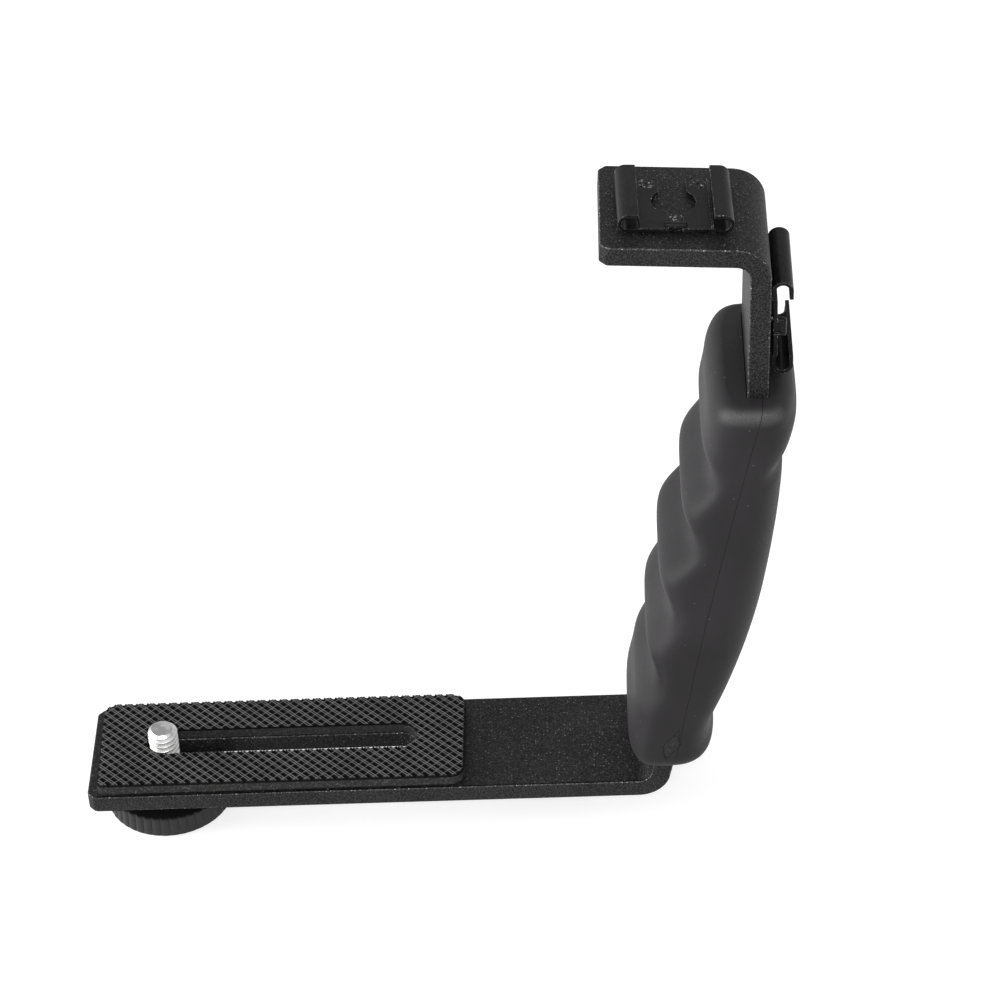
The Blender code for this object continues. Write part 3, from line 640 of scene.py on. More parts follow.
def rounded_rectangle(low: Point, high: Point, radii: Sequence[float], steps: int = 10) -> list[Point]:
    """Rectangle between two corners with a radius for each of its own, from the right front round.

    Args:
        low: Left front corner.
        high: Right rear corner.
        radii: Radii in the order of the corners.
        steps: Number of pieces in each rounding.

    Returns:
        Points in order.
    """
    corners = ((high[0], low[1]), (high[0], high[1]), (low[0], high[1]), (low[0], low[1]))
    inwards = ((-1, 1), (-1, -1), (1, -1), (1, 1))
    points: list[Point] = []
    for turn, (corner, (right, rear), radius) in enumerate(zip(corners, inwards, radii), -1):
        centre = (corner[0] + right * radius, corner[1] + rear * radius)
        points += arc(centre, radius, turn * QUARTER, (turn + 1) * QUARTER, steps)
    return points


def eased_outline(outline: Sequence[Point], radius: float, steps: int = 5) -> list[Point]:
    """Closed outline with its corners rounded off.

    Args:
        outline: Corners in order.
        radius: Radius of the rounding, limited by the shorter side at a corner.
        steps: Number of pieces in each rounding.

    Returns:
        The rounded outline.
    """
    points: list[Point] = []
    for index, corner in enumerate(outline):
        here = Vector(corner)
        before = Vector(outline[index - 1]) - here
        after = Vector(outline[(index + 1) % len(outline)]) - here
        half_angle = before.angle(after) / 2
        setback = min(radius / math.tan(half_angle), 0.45 * before.length, 0.45 * after.length)
        start, end = here + before.normalized() * setback, here + after.normalized() * setback
        for step in range(steps + 1):
            share = step / steps
            bend = (1 - share) ** 2 * start + 2 * share * (1 - share) * here + share**2 * end
            points.append((bend.x, bend.y))
    return points


def linked(name: str, data: bpy.types.ID) -> Piece:
    """A linked object for a mesh, curve, lamp or camera.

    Args:
        name: Name of the object.
        data: What the object shows.

    Returns:
        The object.
    """
    made = bpy.data.objects.new(name, data)
    bpy.context.scene.collection.objects.link(made)
    return made


def shaped(name: str, shape: bmesh.types.BMesh) -> Piece:
    """A linked object for a shape, which is freed.

    Args:
        name: Name of the object.
        shape: Its shape.

    Returns:
        The object.
    """
    mesh = bpy.data.meshes.new(name)
    shape.to_mesh(mesh)
    shape.free()
    return linked(name, mesh)


def baked(source: Piece) -> Piece:
    """Replaces an object by a plain mesh object of the same name, shape and place.

    Args:
        source: Object whose modifiers or curve fill are applied.

    Returns:
        The new object.
    """
    bpy.context.view_layer.update()
    mesh = bpy.data.meshes.new_from_object(source.evaluated_get(bpy.context.evaluated_depsgraph_get()))
    shape = bmesh.new()
    shape.from_mesh(mesh)
    bmesh.ops.remove_doubles(shape, verts=shape.verts, dist=WELD)
    shape.to_mesh(mesh)
    shape.free()
    name = source.name
    place = source.matrix_world.copy()
    bpy.data.objects.remove(source)
    made = linked(name, mesh)
    made.name = name
    made.matrix_world = place
    return made


def settled(source: Piece) -> Piece:
    """Moves an object's place into its mesh, so that patterns keep one scale over the whole part.

    Args:
        source: Object to settle.

    Returns:
        The same object.
    """
    source.data.transform(source.matrix_world)
    source.matrix_world = Matrix.Identity(4)
    return source


def flat_solid(name: str, loops: Iterable[Sequence[Point]], half_thickness: float) -> Piece:
    """Extrudes flat closed outlines, of which the inner ones are holes, to both sides of their plane.

    Args:
        name: Name of the object.
        loops: Outer outline and holes.
        half_thickness: Reach to each side.

    Returns:
        The solid.
    """
    curve = bpy.data.curves.new(name, "CURVE")
    curve.dimensions = "2D"
    curve.fill_mode = "BOTH"
    curve.extrude = half_thickness
    for loop in loops:
        spline = curve.splines.new("POLY")
        spline.points.add(len(loop) - 1)
        for point, (x, y) in zip(spline.points, loop):
            point.co = (x, y, 0.0, 1.0)
        spline.use_cyclic_u = True
    return baked(linked(name, curve))


def turned_solid(name: str, profile: Sequence[Point], steps: int) -> Piece:
    """Turns a profile, given as radius and height from top to bottom, about Z.

    Args:
        name: Name of the object.
        profile: Points of the profile.
        steps: Number of faces round the axis.

    Returns:
        The solid.
    """
    mesh = bpy.data.meshes.new(name)
    edges = [(index, index + 1) for index in range(len(profile) - 1)]
    mesh.from_pydata([(radius, 0.0, height) for radius, height in profile], edges, [])
    made = linked(name, mesh)
    screw = made.modifiers.new("turn", "SCREW")
    screw.steps = steps
    screw.render_steps = steps
    screw.use_merge_vertices = True
    screw.merge_threshold = SEAM_WELD
    return baked(made)


def lofted_solid(name: str, rings: Sequence[Sequence[Sequence[float]]]) -> Piece:
    """Joins closed rings of equally many points and closes the first and last with flat faces.

    Args:
        name: Name of the object.
        rings: Rings from one end to the other.

    Returns:
        The solid.
    """
    shape = bmesh.new()
    loops = [[shape.verts.new(point) for point in ring] for ring in rings]
    count = len(loops[0])
    for lower, upper in zip(loops, loops[1:]):
        for index in range(count):
            following = (index + 1) % count
            shape.faces.new((lower[index], lower[following], upper[following], upper[index]))
    shape.faces.new(reversed(loops[0]))
    shape.faces.new(loops[-1])
    bmesh.ops.recalc_face_normals(shape, faces=shape.faces)
    return shaped(name, shape)


def block_profile(top: float, bottom: float, radius: float) -> list[Point]:
    """Profile of a plain block between two heights, to be turned about Z."""
    return [(0.0, top), (radius, top), (radius, bottom), (0.0, bottom)]


def box_solid(name: str, low: Sequence[float], high: Sequence[float]) -> Piece:
    """Box between two opposite corners, used as a cutter or joined to a sheet.

    Args:
        name: Name of the object.
        low: Corner with the lowest coordinates.
        high: Corner with the highest.

    Returns:
        The box.
    """
    centre = (Vector(low) + Vector(high)) / 2
    size = Vector(high) - Vector(low)
    shape = bmesh.new()
    bmesh.ops.create_cube(shape, size=1.0, matrix=Matrix.Translation(centre) @ Matrix.Diagonal((*size, 1.0)))
    return shaped(name, shape)


def combine(target: Piece, others: Sequence[Piece], operation: str) -> Piece:
    """Applies exact Booleans with other objects, which are then removed.

    Args:
        target: Object that is changed.
        others: Cutters or additions.
        operation: UNION, DIFFERENCE or INTERSECT.

    Returns:
        The resulting object.
    """
    for other in others:
        modifier = target.modifiers.new(operation.lower(), "BOOLEAN")
        modifier.operation = operation
        modifier.solver = "EXACT"
        modifier.object = other
    made = baked(target)
    for other in others:
        bpy.data.objects.remove(other)
    return made


def soften(
    target: Piece, width: float, segments: int, angle: float, limited: bool = True
) -> Piece:
    """Bevels sharp edges and marks the new faces with the second material slot.

    Args:
        target: Object whose edges are softened.
        width: Width of the bevel.
        segments: Number of faces across it.
        angle: Angle in degrees above which an edge is softened.
        limited: Narrows the bevel where short edges leave it little room.

    Returns:
        The object, with the modifier not yet applied.
    """
    while len(target.data.materials) < 2:
        target.data.materials.append(bpy.data.materials.new("blank"))
    modifier = target.modifiers.new("edges", "BEVEL")
    modifier.width = width
    modifier.segments = segments
    modifier.limit_method = "ANGLE"
    modifier.angle_limit = math.radians(angle)
    modifier.material = 1
    modifier.use_clamp_overlap = limited
    return target


def dress(
    piece: Piece,
    material: Material,
    body: Body,
    nodes: Sequence[str],
    angle: float = 35.0,
    painted_edge_highlight: Material | None = None,
) -> Piece:
    """Gives a piece its finish, shading and body.

    Args:
        piece: Finished mesh object.
        material: Its material.
        body: Body that it rides on.
        nodes: Solids that it stands for.
        angle: Angle in degrees above which an edge stays sharp.
        painted_edge_highlight: Paler finish of its softened edges, a painted highlight along them, where one is
            given.

    Returns:
        The piece.
    """
    softened = [bool(painted_edge_highlight and face.material_index) for face in piece.data.polygons]
    piece.data.materials.clear()
    for finish in filter(None, (material, painted_edge_highlight)):
        piece.data.materials.append(finish)
    for face, on_edge in zip(piece.data.polygons, softened):
        face.material_index = int(on_edge)
    piece.data.shade_smooth()
    piece.data.set_sharp_from_angle(angle=math.radians(angle))
    flat = piece.modifiers.new("flat faces", "WEIGHTED_NORMAL")
    flat.keep_sharp = True
    flat.weight = 80
    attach(piece, body.value)
    if nodes:
        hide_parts(*nodes)
    LOG.info("%s: %d faces on %s", piece.name, len(piece.data.polygons), body.value)
    return piece


# The bar and what follows its path


def along(heading: float) -> Vector:
    """Unit vector that points along a heading in the side view."""
    return Vector((math.cos(heading), math.sin(heading)))


def across(heading: float) -> Vector:
    """Unit vector to the left of a heading, which is the inner side of the bends."""
    return Vector((-math.sin(heading), math.cos(heading)))


@dataclass(frozen=True)
class Run:
    """One straight or evenly curved stretch of the bar's middle plane, seen from the side."""

    start: Vector
    heading: float
    length: float
    curvature: float = 0.0

    def at(self, distance: float) -> tuple[Vector, float]:
        """Point and heading at a distance along the stretch.

        Args:
            distance: Distance from the start.

        Returns:
            Point and heading.
        """
        heading = self.heading + self.curvature * distance
        if not self.curvature:
            return self.start + distance * along(heading), heading
        centre = self.start + across(self.heading) / self.curvature
        return centre - across(heading) / self.curvature, heading


@dataclass
class BarPath:
    """Middle plane of the bent bar in the side view, in world metres."""

    origin: Point = (-74.477 * MM, 8.1 * MM)
    width: float = 27.1 * MM
    thickness: float = 4.0 * MM
    lengths: tuple[float, ...] = (119.6 * MM, 101.3 * MM, 35.8 * MM, 30.1 * MM)
    leans: tuple[float, ...] = (0.0, 77.8, 88.5, 176.1)
    radii: tuple[float, ...] = (4.8 * MM, 16.0 * MM, 4.8 * MM)
    slot_axis: float = 15.5 * MM
    slot_travel: float = 50.15 * MM
    runs: list[Run] = field(default_factory=list)

    def __post_init__(self) -> None:
        """Lays the straight and curved stretches end to end."""
        headings = [math.radians(lean) for lean in self.leans]
        turns = [after - before for before, after in zip(headings, headings[1:])]
        setbacks = [0.0, *(r * math.tan(t / 2) for r, t in zip(self.radii, turns)), 0.0]
        point = Vector((self.origin[0], self.origin[1] + self.thickness / 2))
        for index, heading in enumerate(headings):
            straight = self.lengths[index] - setbacks[index] - setbacks[index + 1]
            self.runs.append(Run(point, heading, straight))
            point, heading = self.runs[-1].at(straight)
            if index < len(turns):
                self.runs.append(Run(point, heading, self.radii[index] * turns[index], 1 / self.radii[index]))
                point, heading = self.runs[-1].at(self.runs[-1].length)

    @property
    def length(self) -> float:
        """Length of the flat bar."""
        return sum(run.length for run in self.runs)

    def start_of(self, index: int) -> float:
        """Distance along the bar to the start of a stretch."""
        return sum(run.length for run in self.runs[:index])

    @property
    def platform_corner(self) -> float:
        """Distance along the bar to the corner that neck and platform would make without their bend."""
        turn = math.radians(self.leans[3] - self.leans[2])
        return self.start_of(5) + self.radii[2] * math.tan(turn / 2)

    def slot(self, radius: float) -> list[Point]:
        """Outline of a slot of some radius round the thumb screw's travel."""
        return slot_outline(self.slot_axis, self.slot_axis + self.slot_travel, radius)

    def at(self, distance: float) -> tuple[Vector, float]:
        """Middle-plane point and heading at a distance along the bar.

        Args:
            distance: Distance from the free end.

        Returns:
            Point and heading.
        """
        for run in self.runs[:-1]:
            if distance <= run.length:
                return run.at(distance)
            distance -= run.length
        return self.runs[-1].at(distance)

    def handle_middle(self, height: float) -> float:
        """X of the leaning handle's middle plane at a height, carried on past the kink."""
        handle = self.runs[2]
        return handle.start.x + (height - handle.start.y) / math.tan(handle.heading)

    def wrap(self, made: Piece, step: float = 2.5) -> Piece:
        """Wraps a flat blank round the path.

        Args:
            made: Blank along X, in the plane of X and Y.
            step: Turn between creases, in degrees.

        Returns:
            The bent object.
        """
        shape = bmesh.new()
        shape.from_mesh(made.data)
        start = 0.0
        for run in self.runs:
            if run.curvature:
                count = max(2, round(math.degrees(run.length * run.curvature) / step))
                for index in range(count + 1):
                    station = start + run.length * index / count
                    bmesh.ops.bisect_plane(
                        shape,
                        geom=[*shape.verts, *shape.edges, *shape.faces],
                        plane_co=(station, 0.0, 0.0),
                        plane_no=(1.0, 0.0, 0.0),
                        dist=WELD,
                    )
            start += run.length
        for vertex in shape.verts:
            point, heading = self.at(vertex.co.x)
            point = point + vertex.co.z * across(heading)
            vertex.co = (point.x, vertex.co.y, point.y)
        shape.to_mesh(made.data)
        shape.free()
        return made


@dataclass
class Bar:
    """The bent flat bar with its screw slot."""

    path: BarPath
    end_chamfer: float = 1.4 * MM
    end_radius: float = 1.1 * MM
    edge: float = 0.25 * MM
    slot_width: float = 7.0 * MM
    finish: PowderCoat = PowderCoat()
    # Paler, sparkling copy of the coat on the bevelled edges: a painted highlight along them.
    edge_highlight_finish: PowderCoat = PowderCoat(
        "black powder coat on the edges",
        base=0.020,
        pale=0.14,
        spark=0.75,
        spark_chance=0.42,
        sparkle_size=0.5 * MM,
        strip_side=20 * MM,
    )

    def blank(self) -> Piece:
        """Flat blank with chamfered ends, rounded edges and the slot.

        Returns:
            The blank.
        """
        half = self.path.width / 2
        end = self.path.length
        cut = self.end_chamfer
        outline = [(0.0, half - cut), (0.0, cut - half), (cut, -half), (end - cut, -half)]
        outline += [(end, cut - half), (end, half - cut), (end - cut, half), (cut, half)]
        loops = [eased_outline(outline, self.end_radius), self.path.slot(self.slot_width / 2)]
        return flat_solid("bar_body", loops, self.path.thickness / 2)

    def build(self) -> Piece:
        """Makes the bent bar and dresses it.

        Returns:
            The bar.
        """
        bar = baked(soften(self.blank(), self.edge, 3, 30.0, False))
        self.path.wrap(bar)
        coat = self.finish.material()
        # The edge material is the painted highlight along the bevelled edges.
        rubbed = self.edge_highlight_finish.material()
        return dress(bar, coat, Body.BRACKET, ["bracket_bar"], 25.0, rubbed)


@dataclass
class Pad:
    """Rubber pad with a slot and a net of slanting ridges round four-sided pits."""

    path: BarPath
    start: float = 1.6 * MM
    length: float = 77.9 * MM
    width: float = 25.7 * MM
    forward: float = 0.3 * MM
    bottom: float = 12.4 * MM
    top: float = 15.0 * MM
    corners: tuple[float, ...] = (3.0 * MM, 3.0 * MM, 3.0 * MM, 1.2 * MM)
    skew: float = 0.7 * MM
    slope: float = 0.45 * MM
    front_slope: float = 0.22 * MM
    slot_radius: float = 3.6 * MM
    repeat: Point = (2.38 * MM, 2.28 * MM)
    crossing: Point = (-31.667 * MM, 0.27 * MM)
    broad_ridge: Point = (0.60 * MM, 0.14 * MM)
    narrow_ridge: Point = (0.12 * MM, 0.24 * MM)
    broad_crown: Point = (1.0, 0.55)
    narrow_crown: Point = (0.92, 1.0)
    shelf_share: float = 0.74
    pit_depth: float = 0.44 * MM
    spare_repeats: int = 3
    finish: PadRubber = PadRubber()

    def breaks(self, ridge: Point, crown: Point, count: int) -> list[tuple[float, float]]:
        """Places across one family of ridges where the surface changes slope, with the height share there.

        Args:
            ridge: Width of a ridge's top and of one of its flanks.
            crown: Height shares of a ridge's edges and of its middle.
            count: Number of ridges to each side of the middle one.

        Returns:
            Places, counted in ridges from the middle one, and height shares from 0 to 1.
        """
        along_step, across_step = self.repeat[0] / 2, self.repeat[1] / 2
        pitch = 2 * along_step * across_step / math.hypot(along_step, across_step)
        half = ridge[0] / 2 / pitch
        foot = half + ridge[1] / pitch
        shelf = half * self.shelf_share
        left = [(-foot, 0.0), (-half, crown[0]), (-shelf, crown[0])]
        right = [(-place, rise) for place, rise in reversed(left)]
        profile = [*left, (0.0, crown[1]), *right]
        return [(middle + place, rise) for middle in range(-count, count + 1) for place, rise in profile]

    def net(self) -> Piece:
        """Block whose top is the net of ridges.

        Returns:
            The block, deeper than the pad.
        """
        along_step, across_step = self.repeat[0] / 2, self.repeat[1] / 2
        count = math.ceil((self.length / along_step + self.width / across_step) / 4) + self.spare_repeats
        first = self.breaks(self.broad_ridge, self.broad_crown, count)
        second = self.breaks(self.narrow_ridge, self.narrow_crown, count)
        middle = self.path.origin[0] + self.start + self.length / 2
        shift = self.repeat[0] * round((middle - self.crossing[0]) / self.repeat[0])
        half_x = self.length / 2 + self.spare_repeats * self.repeat[0]
        half_y = self.width / 2 + self.spare_repeats * self.repeat[1]
        shape = bmesh.new()
        grid: dict[tuple[int, int], bmesh.types.BMVert] = {}
        for i, (a, rise_a) in enumerate(first):
            for j, (b, rise_b) in enumerate(second):
                x = self.crossing[0] + shift + (a + b) * along_step
                y = self.crossing[1] + (a - b) * across_step
                if abs(x - middle) < half_x and abs(y) < half_y:
                    height = self.top - self.pit_depth * (1 - max(rise_a, rise_b))
                    grid[i, j] = shape.verts.new((x, y, height))
        for i, j in list(grid):
            corners = [grid.get(key) for key in ((i, j), (i, j + 1), (i + 1, j + 1), (i + 1, j))]
            if all(corners):
                shape.faces.new(corners)
        stray = [vertex for vertex in shape.verts if not vertex.link_faces]
        bmesh.ops.delete(shape, geom=stray, context="VERTS")
        rim = [edge for edge in shape.edges if edge.is_boundary]
        made = bmesh.ops.extrude_edge_only(shape, edges=rim)["geom"]
        for item in made:
            if isinstance(item, bmesh.types.BMVert):
                item.co.z = self.bottom - self.slot_radius
        bmesh.ops.contextual_create(shape, geom=[item for item in made if isinstance(item, bmesh.types.BMEdge)])
        bmesh.ops.recalc_face_normals(shape, faces=shape.faces)
        return shaped("pad_net", shape)

    def ring(self, inset: float, height: float) -> list[Place]:
        """Level ring round the pad at a distance inside its edge, with the slightly skewed free end.

        Args:
            inset: Distance inside the edge.
            height: Height of the ring.

        Returns:
            Points in order.
        """
        half = self.width / 2
        low = (self.start + inset, max(inset, self.slope - self.front_slope) - half)
        high = (self.start + self.length - inset, half - self.slope)
        points = []
        for x, y in rounded_rectangle(low, high, [radius - inset for radius in self.corners]):
            skew = self.skew * (half - y) / (2 * half) if x < self.path.slot_axis - self.slot_radius else 0.0
            points.append((self.path.origin[0] + x + skew, y - self.forward, height))
        return points

    def envelope(self) -> Piece:
        """Plain pad with sloping edges, which bounds the net.

        Returns:
            The plain pad.
        """
        above = self.slope / 2
        rings = [
            self.ring(0.0, self.bottom),
            self.ring(0.0, self.top - self.slope),
            self.ring(self.slope + above, self.top + above),
        ]
        return lofted_solid("pad_body", rings)

    def build(self) -> Piece:
        """Cuts the net to the pad's outline, cuts the slot and dresses the pad.

        Returns:
            The pad.
        """
        cutter = flat_solid("pad_slot", [self.path.slot(self.slot_radius)], self.top - self.bottom)
        cutter.location = (self.path.origin[0], 0.0, (self.top + self.bottom) / 2)
        pad = combine(self.envelope(), [self.net()], "INTERSECT")
        pad = combine(pad, [cutter], "DIFFERENCE")
        return dress(pad, self.finish.material(), Body.BRACKET, ["camera_pad"], 60.0)


@dataclass
class Grip:
    """Moulded grip with finger grooves, a palm swell and a seam."""

    path: BarPath
    bottom: float = 18.6 * MM
    height: float = 94.101 * MM
    depth: float = 36.8 * MM
    palm: float = 11.85 * MM
    finger: float = 10.85 * MM
    groove_depth: float = 3.2 * MM
    groove_width: float = 18.0 * MM
    foot_rounding: float = 4.5 * MM
    rim_rounding: float = 2.5 * MM
    palm_top: Point = (7.0 * MM, 5.0 * MM)
    finger_top: Point = (5.5 * MM, 3.2 * MM)
    palm_roundness: float = 2.85
    finger_roundness: float = 4.3
    ring_points: int = 160
    body_rings: int = 150
    foot_rings: int = 16
    top_rings: int = 24
    gap: float = 0.18 * MM
    palm_shares: tuple[Point, ...] = (
        *((0.00, 1.05), (0.04, 0.796), (0.08, 0.721), (0.12, 0.728), (0.18, 0.828), (0.25, 0.915)),
        *((0.33, 0.976), (0.42, 1.00), (0.52, 0.974), (0.63, 0.910), (0.71, 0.841), (0.78, 0.753)),
        *((0.82, 0.649), (0.86, 0.744), (0.91, 0.756), (0.95, 0.69), (1.00, 0.69)),
    )
    finger_shares: tuple[Point, ...] = (
        *((0.00, 0.689), (0.06, 0.803), (0.12, 0.808), (0.20, 0.841), (0.36, 0.936)),
        *((0.54, 1.00), (0.73, 0.881), (0.89, 0.829), (1.00, 0.90)),
    )
    grooves: tuple[Place, ...] = (
        (0.244, 0.756, 0.992),
        (0.422, 0.992, 1.13),
        (0.617, 1.28, 0.986),
        (0.794, 0.959, 0.889),
    )
    finish: GripRubber = GripRubber()

    @staticmethod
    def eased(stations: Sequence[Point], share: float) -> float:
        """Value at a height share on a smooth curve through stations.

        Args:
            stations: Height shares and values.
            share: Height share.

        Returns:
            The value.
        """
        last = len(stations) - 1
        index = 0
        while index < last - 1 and share > stations[index + 1][0]:
            index += 1
        (x0, y0), (x1, y1) = stations[index], stations[index + 1]
        before = stations[max(index - 1, 0)]
        after = stations[min(index + 2, last)]
        slope0 = (y1 - before[1]) / (x1 - before[0])
        slope1 = (after[1] - y0) / (after[0] - x0)
        width = x1 - x0
        t = min(max((share - x0) / width, 0.0), 1.0)
        start = (2 * t**3 - 3 * t**2 + 1) * y0 + (t**3 - 2 * t**2 + t) * width * slope0
        return start + (3 * t**2 - 2 * t**3) * y1 + (t**3 - t**2) * width * slope1

    @staticmethod
    def drawn_in(height: float, end: float, span: float, inset: float) -> float:
        """How far an end that is rounded over a span draws a side in at a height."""
        reach = min(max(1 - abs(end - height) / span, 0.0), 1.0)
        return inset * (1 - math.sqrt(1 - reach**2))

    def levels(self) -> list[float]:
        """Heights of the rings, closer together at the rounded ends.

        Returns:
            Heights from the lowest up.
        """
        low = self.bottom + self.foot_rounding
        span = self.palm_top[0]
        high = self.bottom + self.height - span
        count = self.foot_rings
        foot = [low - self.foot_rounding * math.cos(QUARTER * n / count) for n in range(count)]
        body = [low + (high - low) * n / self.body_rings for n in range(self.body_rings)]
        top = [high + span * math.sin(QUARTER * n / self.top_rings) for n in range(self.top_rings + 1)]
        return foot + body + top

    def sides(self, height: float) -> Place:
        """Palm reach, finger reach and half depth of the grip at a height.

        Args:
            height: Height in metres.

        Returns:
            The three reaches.
        """
        share = (height - self.bottom) / self.height
        top = self.bottom + self.height
        foot = self.drawn_in(height, self.bottom, self.foot_rounding, self.foot_rounding)
        palm = self.palm * self.eased(self.palm_shares, share) - foot
        finger = self.finger * self.eased(self.finger_shares, share) - foot
        for place, depth_share, width_share in self.grooves:
            reach = abs(share - place) * self.height / (self.groove_width * width_share / 2)
            if reach < 1:
                finger -= self.groove_depth * depth_share * (1 + math.cos(math.pi * reach)) / 2
        palm -= self.drawn_in(height, top, *self.palm_top)
        finger -= self.drawn_in(height, top, *self.finger_top)
        depth = self.depth / 2 - foot - self.drawn_in(height, top, self.rim_rounding, self.rim_rounding)
        return palm, finger, depth

    def ring(self, height: float) -> list[Place]:
        """One level ring.

        Args:
            height: Height of the ring.

        Returns:
            Points in order.
        """
        middle = self.path.handle_middle(height)
        palm, finger, depth = self.sides(height)
        points = []
        for step in range(self.ring_points):
            angle = 2 * math.pi * step / self.ring_points
            c, s = math.cos(angle), math.sin(angle)
            reach, power = (palm, 2 / self.palm_roundness) if c > 0 else (finger, 2 / self.finger_roundness)
            x = math.copysign(abs(c) ** power, c) * reach
            y = math.copysign(abs(s) ** power, s) * depth
            points.append((middle + x, y, height))
        return points

    def passage(self) -> Piece:
        """Space that the bar takes through the grip.

        Returns:
            A cutter for it.
        """
        half = self.path.width / 2 + self.gap
        start = self.path.start_of(2)
        end = self.path.start_of(4) + self.path.runs[4].length / 2
        outline = [(start, -half), (end, -half), (end, half), (start, half)]
        return self.path.wrap(flat_solid("grip_passage", [outline], self.path.thickness / 2 + self.gap))

    def build(self) -> Piece:
        """Makes the grip with its opening and dresses it.

        Returns:
            The grip.
        """
        grip = lofted_solid("grip_body", [self.ring(height) for height in self.levels()])
        grip = combine(grip, [self.passage()], "DIFFERENCE")
        return dress(grip, self.finish.material(), Body.BRACKET, ["grip"], 40.0)


# Shoes and their screws


